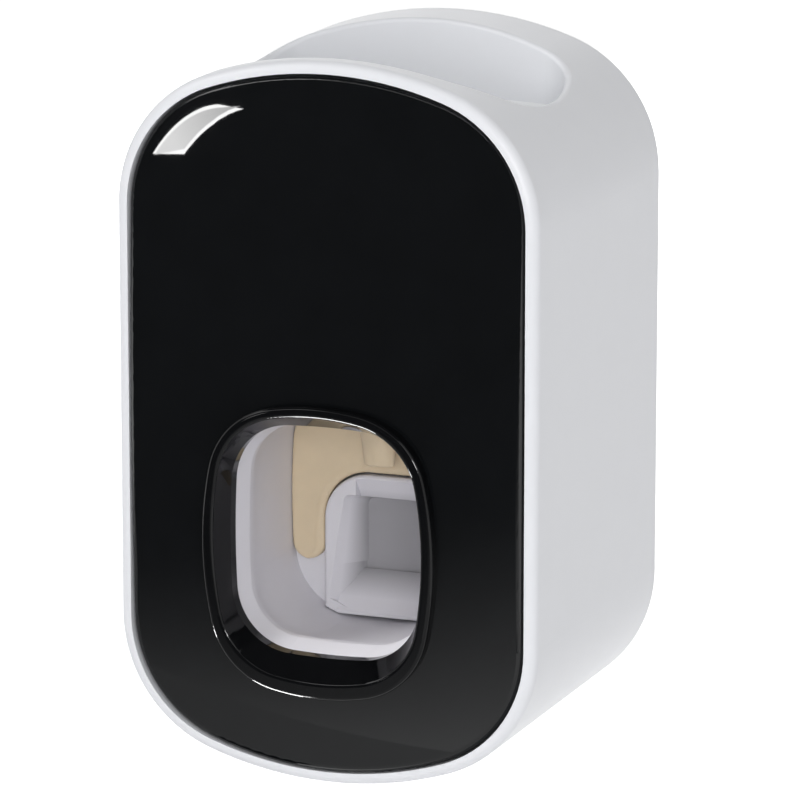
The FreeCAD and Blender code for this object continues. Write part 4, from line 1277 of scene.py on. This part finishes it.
@dataclass
class Studio:
    """The floor, the lights, the cards that the gloss shows, and the camera, with lengths in metres.

    The focal length and the sensor are in millimetres, and the shifts are shares of the sensor.
    """

    camera_place: Place = (0.42767, -1.12588, 0.26368)
    camera_back: Place = (0.35636, -0.90815, 0.21971)
    focal_length: float = 254.42
    sensor: float = 36.0
    shift_x: float = 0.003676
    shift_y: float = -0.016057
    clip_start: float = 0.01
    floor_z: float = -0.24
    floor_half_size: float = 8.0
    floor_colour: Colour = (0.82, 0.82, 0.83)
    floor_roughness: float = 0.9
    floor_glow: float = 0.68
    ambient: float = 0.355
    flag_x: Point = (-0.9, 0.45)
    flag_y: float = -0.46
    flag_top_z: float = 0.4
    flag_level: float = 0.05
    flag_glow: float = 0.87
    flag_lean: float = 0.2
    flag_fade: Point = (-0.103, -0.223)
    flag_bend: float = 1.8
    floor_card_back_y: float = -0.12
    floor_card_lift: float = 0.0015
    floor_card_fade: Point = (-0.35, 0.1)
    floor_card_glow: Point = (0.42, 0.8)
    crest_glow: float = 40.0
    crest_lift: float = 0.003
    crest_corners: tuple[Point, Point] = ((-0.165, -0.20), (-0.085, -0.05))
    left_crest_corners: tuple[Point, Point] = ((-0.42, -0.20), (-0.36, 0.05))
    right_crest_ends: tuple[Point, Point] = ((0.56, -0.62), (0.68, -0.46))
    right_crest_z: Point = (0.17, 0.31)
    ceiling_z: float = 0.60
    ceiling_corners: tuple[Point, Point] = ((-0.55, -0.46), (0.5, 0.35))
    ceiling_fade: Point = (0.2, 0.5)
    ceiling_glow: float = 0.3
    strip_y: float = -0.44
    strip_outer_centre: Point = (-0.2176, -0.0783)
    strip_outer_radius: float = 0.1232
    strip_outer_angles: Point = (129.5, 97.7)
    strip_inner_centre: Point = (-0.1827, -0.0911)
    strip_inner_radius: float = 0.1373
    strip_inner_angles: Point = (126.4, 101.6)
    strip_border: float = 0.0016
    strip_border_glow: float = 24.0
    strip_lift: float = 0.0005
    strip_along: Place = (0.75, 0.0, 0.66)
    strip_fade: Point = (-0.19, -0.13)
    strip_glow: Point = (16.5, 9.5)
    strip_steps: int = 16

    def build(self) -> None:
        """Set up the whole studio."""
        bpy.context.scene.view_settings.view_transform = "Standard"
        self.world()
        self.floor()
        self.lights()
        self.flags()
        self.crests()
        self.strip_light()
        self.camera()

    def world(self) -> None:
        """Surround the part with soft light, white where the camera or the gloss sees it."""
        world = bpy.data.worlds.new("studio_world")
        bpy.context.scene.world = world
        world.use_nodes = True
        tree = world.node_tree
        background = next(node for node in tree.nodes if node.type == "BACKGROUND")
        seen = seen_directly(tree)
        strength = tree.nodes.new("ShaderNodeMapRange")
        strength.inputs["To Min"].default_value = self.ambient
        strength.inputs["To Max"].default_value = 1.0
        tree.links.new(seen, strength.inputs["Value"])
        tree.links.new(strength.outputs["Result"], background.inputs["Strength"])
        background.inputs["Color"].default_value = (1.0, 1.0, 1.0, 1.0)

    def floor(self) -> None:
        """Lay a pale floor that shows white from above and can be seen through from beneath."""
        mesh = bmesh.new()
        bmesh.ops.create_grid(mesh, x_segments=2, y_segments=2, size=self.floor_half_size)
        floor = linked("studio_floor", mesh)
        floor.location = (0.0, 0.0, self.floor_z)
        material = bpy.data.materials.new("floor_white")
        material.use_nodes = True
        tree = material.node_tree
        shader = next(node for node in tree.nodes if node.type == "BSDF_PRINCIPLED")
        shader.inputs["Base Color"].default_value = (*self.floor_colour, 1.0)
        shader.inputs["Roughness"].default_value = self.floor_roughness
        shader.inputs["Emission Color"].default_value = (1.0, 1.0, 1.0, 1.0)
        strength = tree.nodes.new("ShaderNodeMapRange")
        strength.inputs["To Min"].default_value = 0.0
        strength.inputs["To Max"].default_value = self.floor_glow
        tree.links.new(seen_directly(tree), strength.inputs["Value"])
        tree.links.new(strength.outputs["Result"], shader.inputs["Emission Strength"])
        side = tree.nodes.new("ShaderNodeNewGeometry")
        clear = tree.nodes.new("ShaderNodeBsdfTransparent")
        either = tree.nodes.new("ShaderNodeMixShader")
        output = next(node for node in tree.nodes if node.type == "OUTPUT_MATERIAL")
        tree.links.new(side.outputs["Backfacing"], either.inputs["Fac"])
        tree.links.new(shader.outputs["BSDF"], either.inputs[1])
        tree.links.new(clear.outputs["BSDF"], either.inputs[2])
        tree.links.new(either.outputs["Shader"], output.inputs["Surface"])
        floor.data.materials.append(material)

    def card(self, name: str, corners: Sequence[Sequence[float]],
             material: bpy.types.Material) -> bpy.types.Object:
        """Hang a flat card that shows in gloss only.

        Args:
            name: the card's name.
            corners: its corners in order.
            material: what it shows.

        Returns:
            The card.
        """
        mesh = bmesh.new()
        mesh.faces.new([mesh.verts.new(corner) for corner in corners])
        card = linked(name, mesh)
        card.data.materials.append(material)
        card.visible_camera = False
        card.visible_diffuse = False
        card.visible_transmission = False
        card.visible_volume_scatter = False
        card.visible_shadow = False
        return card

    def glow(self, name: str, along: Sequence[float], fade: Point, low: float, high: float,
             bend_power: float = 1.0) -> bpy.types.Material:
        """Make a card's light, graded from one place to another.

        Args:
            name: the material's name.
            along: the direction in which it changes.
            fade: the distances along that direction at which the change starts and ends.
            low: the light up to the start.
            high: the light past the end.
            bend_power: how late the change sets in, 1 for an even change.

        Returns:
            The material.
        """
        material = bpy.data.materials.new(name)
        material.use_nodes = True
        tree = material.node_tree
        tree.nodes.clear()
        place = tree.nodes.new("ShaderNodeTexCoord")
        measure = tree.nodes.new("ShaderNodeVectorMath")
        measure.operation = "DOT_PRODUCT"
        measure.inputs[1].default_value = along
        share = tree.nodes.new("ShaderNodeMapRange")
        share.inputs["From Min"].default_value = fade[0]
        share.inputs["From Max"].default_value = fade[1]
        bend = tree.nodes.new("ShaderNodeMath")
        bend.operation = "POWER"
        bend.inputs[1].default_value = bend_power
        strength = tree.nodes.new("ShaderNodeMapRange")
        strength.inputs["To Min"].default_value = low
        strength.inputs["To Max"].default_value = high
        light = tree.nodes.new("ShaderNodeEmission")
        output = tree.nodes.new("ShaderNodeOutputMaterial")
        tree.links.new(place.outputs["Object"], measure.inputs[0])
        tree.links.new(measure.outputs["Value"], share.inputs["Value"])
        tree.links.new(share.outputs["Result"], bend.inputs[0])
        tree.links.new(bend.outputs["Value"], strength.inputs["Value"])
        tree.links.new(strength.outputs["Result"], light.inputs["Strength"])
        tree.links.new(light.outputs["Emission"], output.inputs["Surface"])
        return material

    def steady(self, name: str, strength: float) -> bpy.types.Material:
        """Make a card's light that is the same all over."""
        return self.glow(name, (0.0, 0.0, 1.0), (0.0, 1.0), strength, strength)

    def flags(self) -> None:
        """Stand a dark card in front, paler at its foot, lay one on the floor and hang one overhead."""
        left, right = self.flag_x
        front = self.glow("front_flag_light", (-self.flag_lean, 0.0, 1.0), self.flag_fade,
                          self.flag_level, self.flag_level + self.flag_glow, self.flag_bend)
        self.card("front_flag", upright((left, self.flag_y), (right, self.flag_y), self.floor_z,
                                        self.flag_top_z), front)
        low = self.glow("floor_card_light", (1.0, 0.0, 0.0), self.floor_card_fade, *self.floor_card_glow)
        self.card("floor_card", level((left, self.flag_y), (right, self.floor_card_back_y),
                                      self.floor_z + self.floor_card_lift), low)
        above = self.glow("ceiling_flag_light", (0.0, 1.0, 0.0), self.ceiling_fade,
                          self.flag_level, self.ceiling_glow)
        self.card("ceiling_flag", level(*self.ceiling_corners, self.ceiling_z), above)

    def crests(self) -> None:
        """Set three bright cards whose light reaches the bezel alone and draws its crest."""
        light = self.steady("crest_light", self.crest_glow)
        low_z = self.floor_z + self.crest_lift
        bezel = receivers("crest_receivers", "window_bezel")
        for name, corners in (("crest_card", level(*self.crest_corners, low_z)),
                              ("left_crest_card", level(*self.left_crest_corners, low_z)),
                              ("right_crest_card", upright(*self.right_crest_ends, *self.right_crest_z))):
            self.card(name, corners, light).light_linking.receiver_collection = bezel

    def strip_light(self) -> None:
        """Hang the curved strip that the upper left of the front mirrors, brighter at its border."""
        border = self.steady("strip_border_light", self.strip_border_glow)
        self.card("strip_border", self.strip_outline(0.0, self.strip_y), border)
        inside = self.glow("strip_light", self.strip_along, self.strip_fade, *self.strip_glow)
        inner = self.strip_outline(self.strip_border, self.strip_y + self.strip_lift)
        self.card("strip_inside", inner, inside)

    def strip_outline(self, inset: float, y: float) -> list[Vector]:
        """The strip's outline.

        Args:
            inset: how far it is drawn in.
            y: where the strip hangs.

        Returns:
            The outline's points in order.
        """
        turn = math.degrees(inset / self.strip_outer_radius)
        outer = arc(self.strip_outer_centre, self.strip_outer_radius - inset,
                    self.strip_outer_angles[0] - turn, self.strip_outer_angles[1] + turn, self.strip_steps)
        inner = arc(self.strip_inner_centre, self.strip_inner_radius + inset,
                    self.strip_inner_angles[0] - turn, self.strip_inner_angles[1] + turn, self.strip_steps)
        return [Vector((x, y, z)) for x, z in outer + inner[::-1]]

    def lights(self) -> None:
        """Hang four lights round the part, and one that reaches the chamber through the window."""
        for lamp in (KEY, RIGHT, FRONT, REAR):
            self.area(lamp)
        window = self.area(WINDOW)
        window.light_linking.receiver_collection = receivers("window_receivers", "brush_chamber")

    def area(self, lamp: Lamp) -> bpy.types.Object:
        """Hang one square light.

        Args:
            lamp: the light.

        Returns:
            The light's object.
        """
        light = bpy.data.lights.new(lamp.name, "AREA")
        light.shape = "SQUARE"
        light.size = lamp.size
        light.energy = lamp.power
        holder = bpy.data.objects.new(lamp.name, light)
        holder.location = lamp.place
        holder.visible_glossy = lamp.shines
        aim = Vector(lamp.target) - Vector(lamp.place)
        holder.rotation_euler = aim.to_track_quat("-Z", "Y").to_euler()
        bpy.context.scene.collection.objects.link(holder)
        return holder

    def camera(self) -> None:
        """Set the camera at the photograph's angle."""
        lens = bpy.data.cameras.new("photo_camera")
        lens.sensor_fit = "HORIZONTAL"
        lens.sensor_width = self.sensor
        lens.lens = self.focal_length
        lens.shift_x = self.shift_x
        lens.shift_y = self.shift_y
        lens.clip_start = self.clip_start
        holder = bpy.data.objects.new("photo_camera", lens)
        holder.location = self.camera_place
        aim = -Vector(self.camera_back)
        holder.rotation_euler = aim.to_track_quat("-Z", "Y").to_euler()
        bpy.context.scene.collection.objects.link(holder)
        bpy.context.scene.camera = holder


def receivers(name: str, node: str) -> bpy.types.Collection:
    """Make a collection with one CAD node, for a light that is to reach that node alone.

    Args:
        name: the collection's name.
        node: the node's name.

    Returns:
        The collection.
    """
    collection = bpy.data.collections.new(name)
    collection.objects.link(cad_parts[node])
    return collection


def seen_directly(tree: bpy.types.NodeTree) -> bpy.types.NodeSocket:
    """A value of 1 for rays from the camera, a mirror or clear material, else 0.

    Args:
        tree: the node tree that gets the nodes.

    Returns:
        The value's socket.
    """
    path = tree.nodes.new("ShaderNodeLightPath")
    total = path.outputs["Is Camera Ray"]
    for output in ("Is Glossy Ray", "Is Transmission Ray"):
        node = tree.nodes.new("ShaderNodeMath")
        node.operation = "MAXIMUM"
        tree.links.new(total, node.inputs[0])
        tree.links.new(path.outputs[output], node.inputs[1])
        total = node.outputs["Value"]
    return total


def main() -> None:
    """Build and dress every sub-assembly, then the studio."""
    logging.basicConfig(level=logging.INFO, format="%(message)s")
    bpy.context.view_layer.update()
    for assembly in (Sleeve(), FrontCover(), BrushBay(), Pump(), TubeWell(), WallMount(), Screws()):
        assembly.build()
        assembly.dress()
    Studio().build()


if __name__ == "__main__":
    main()
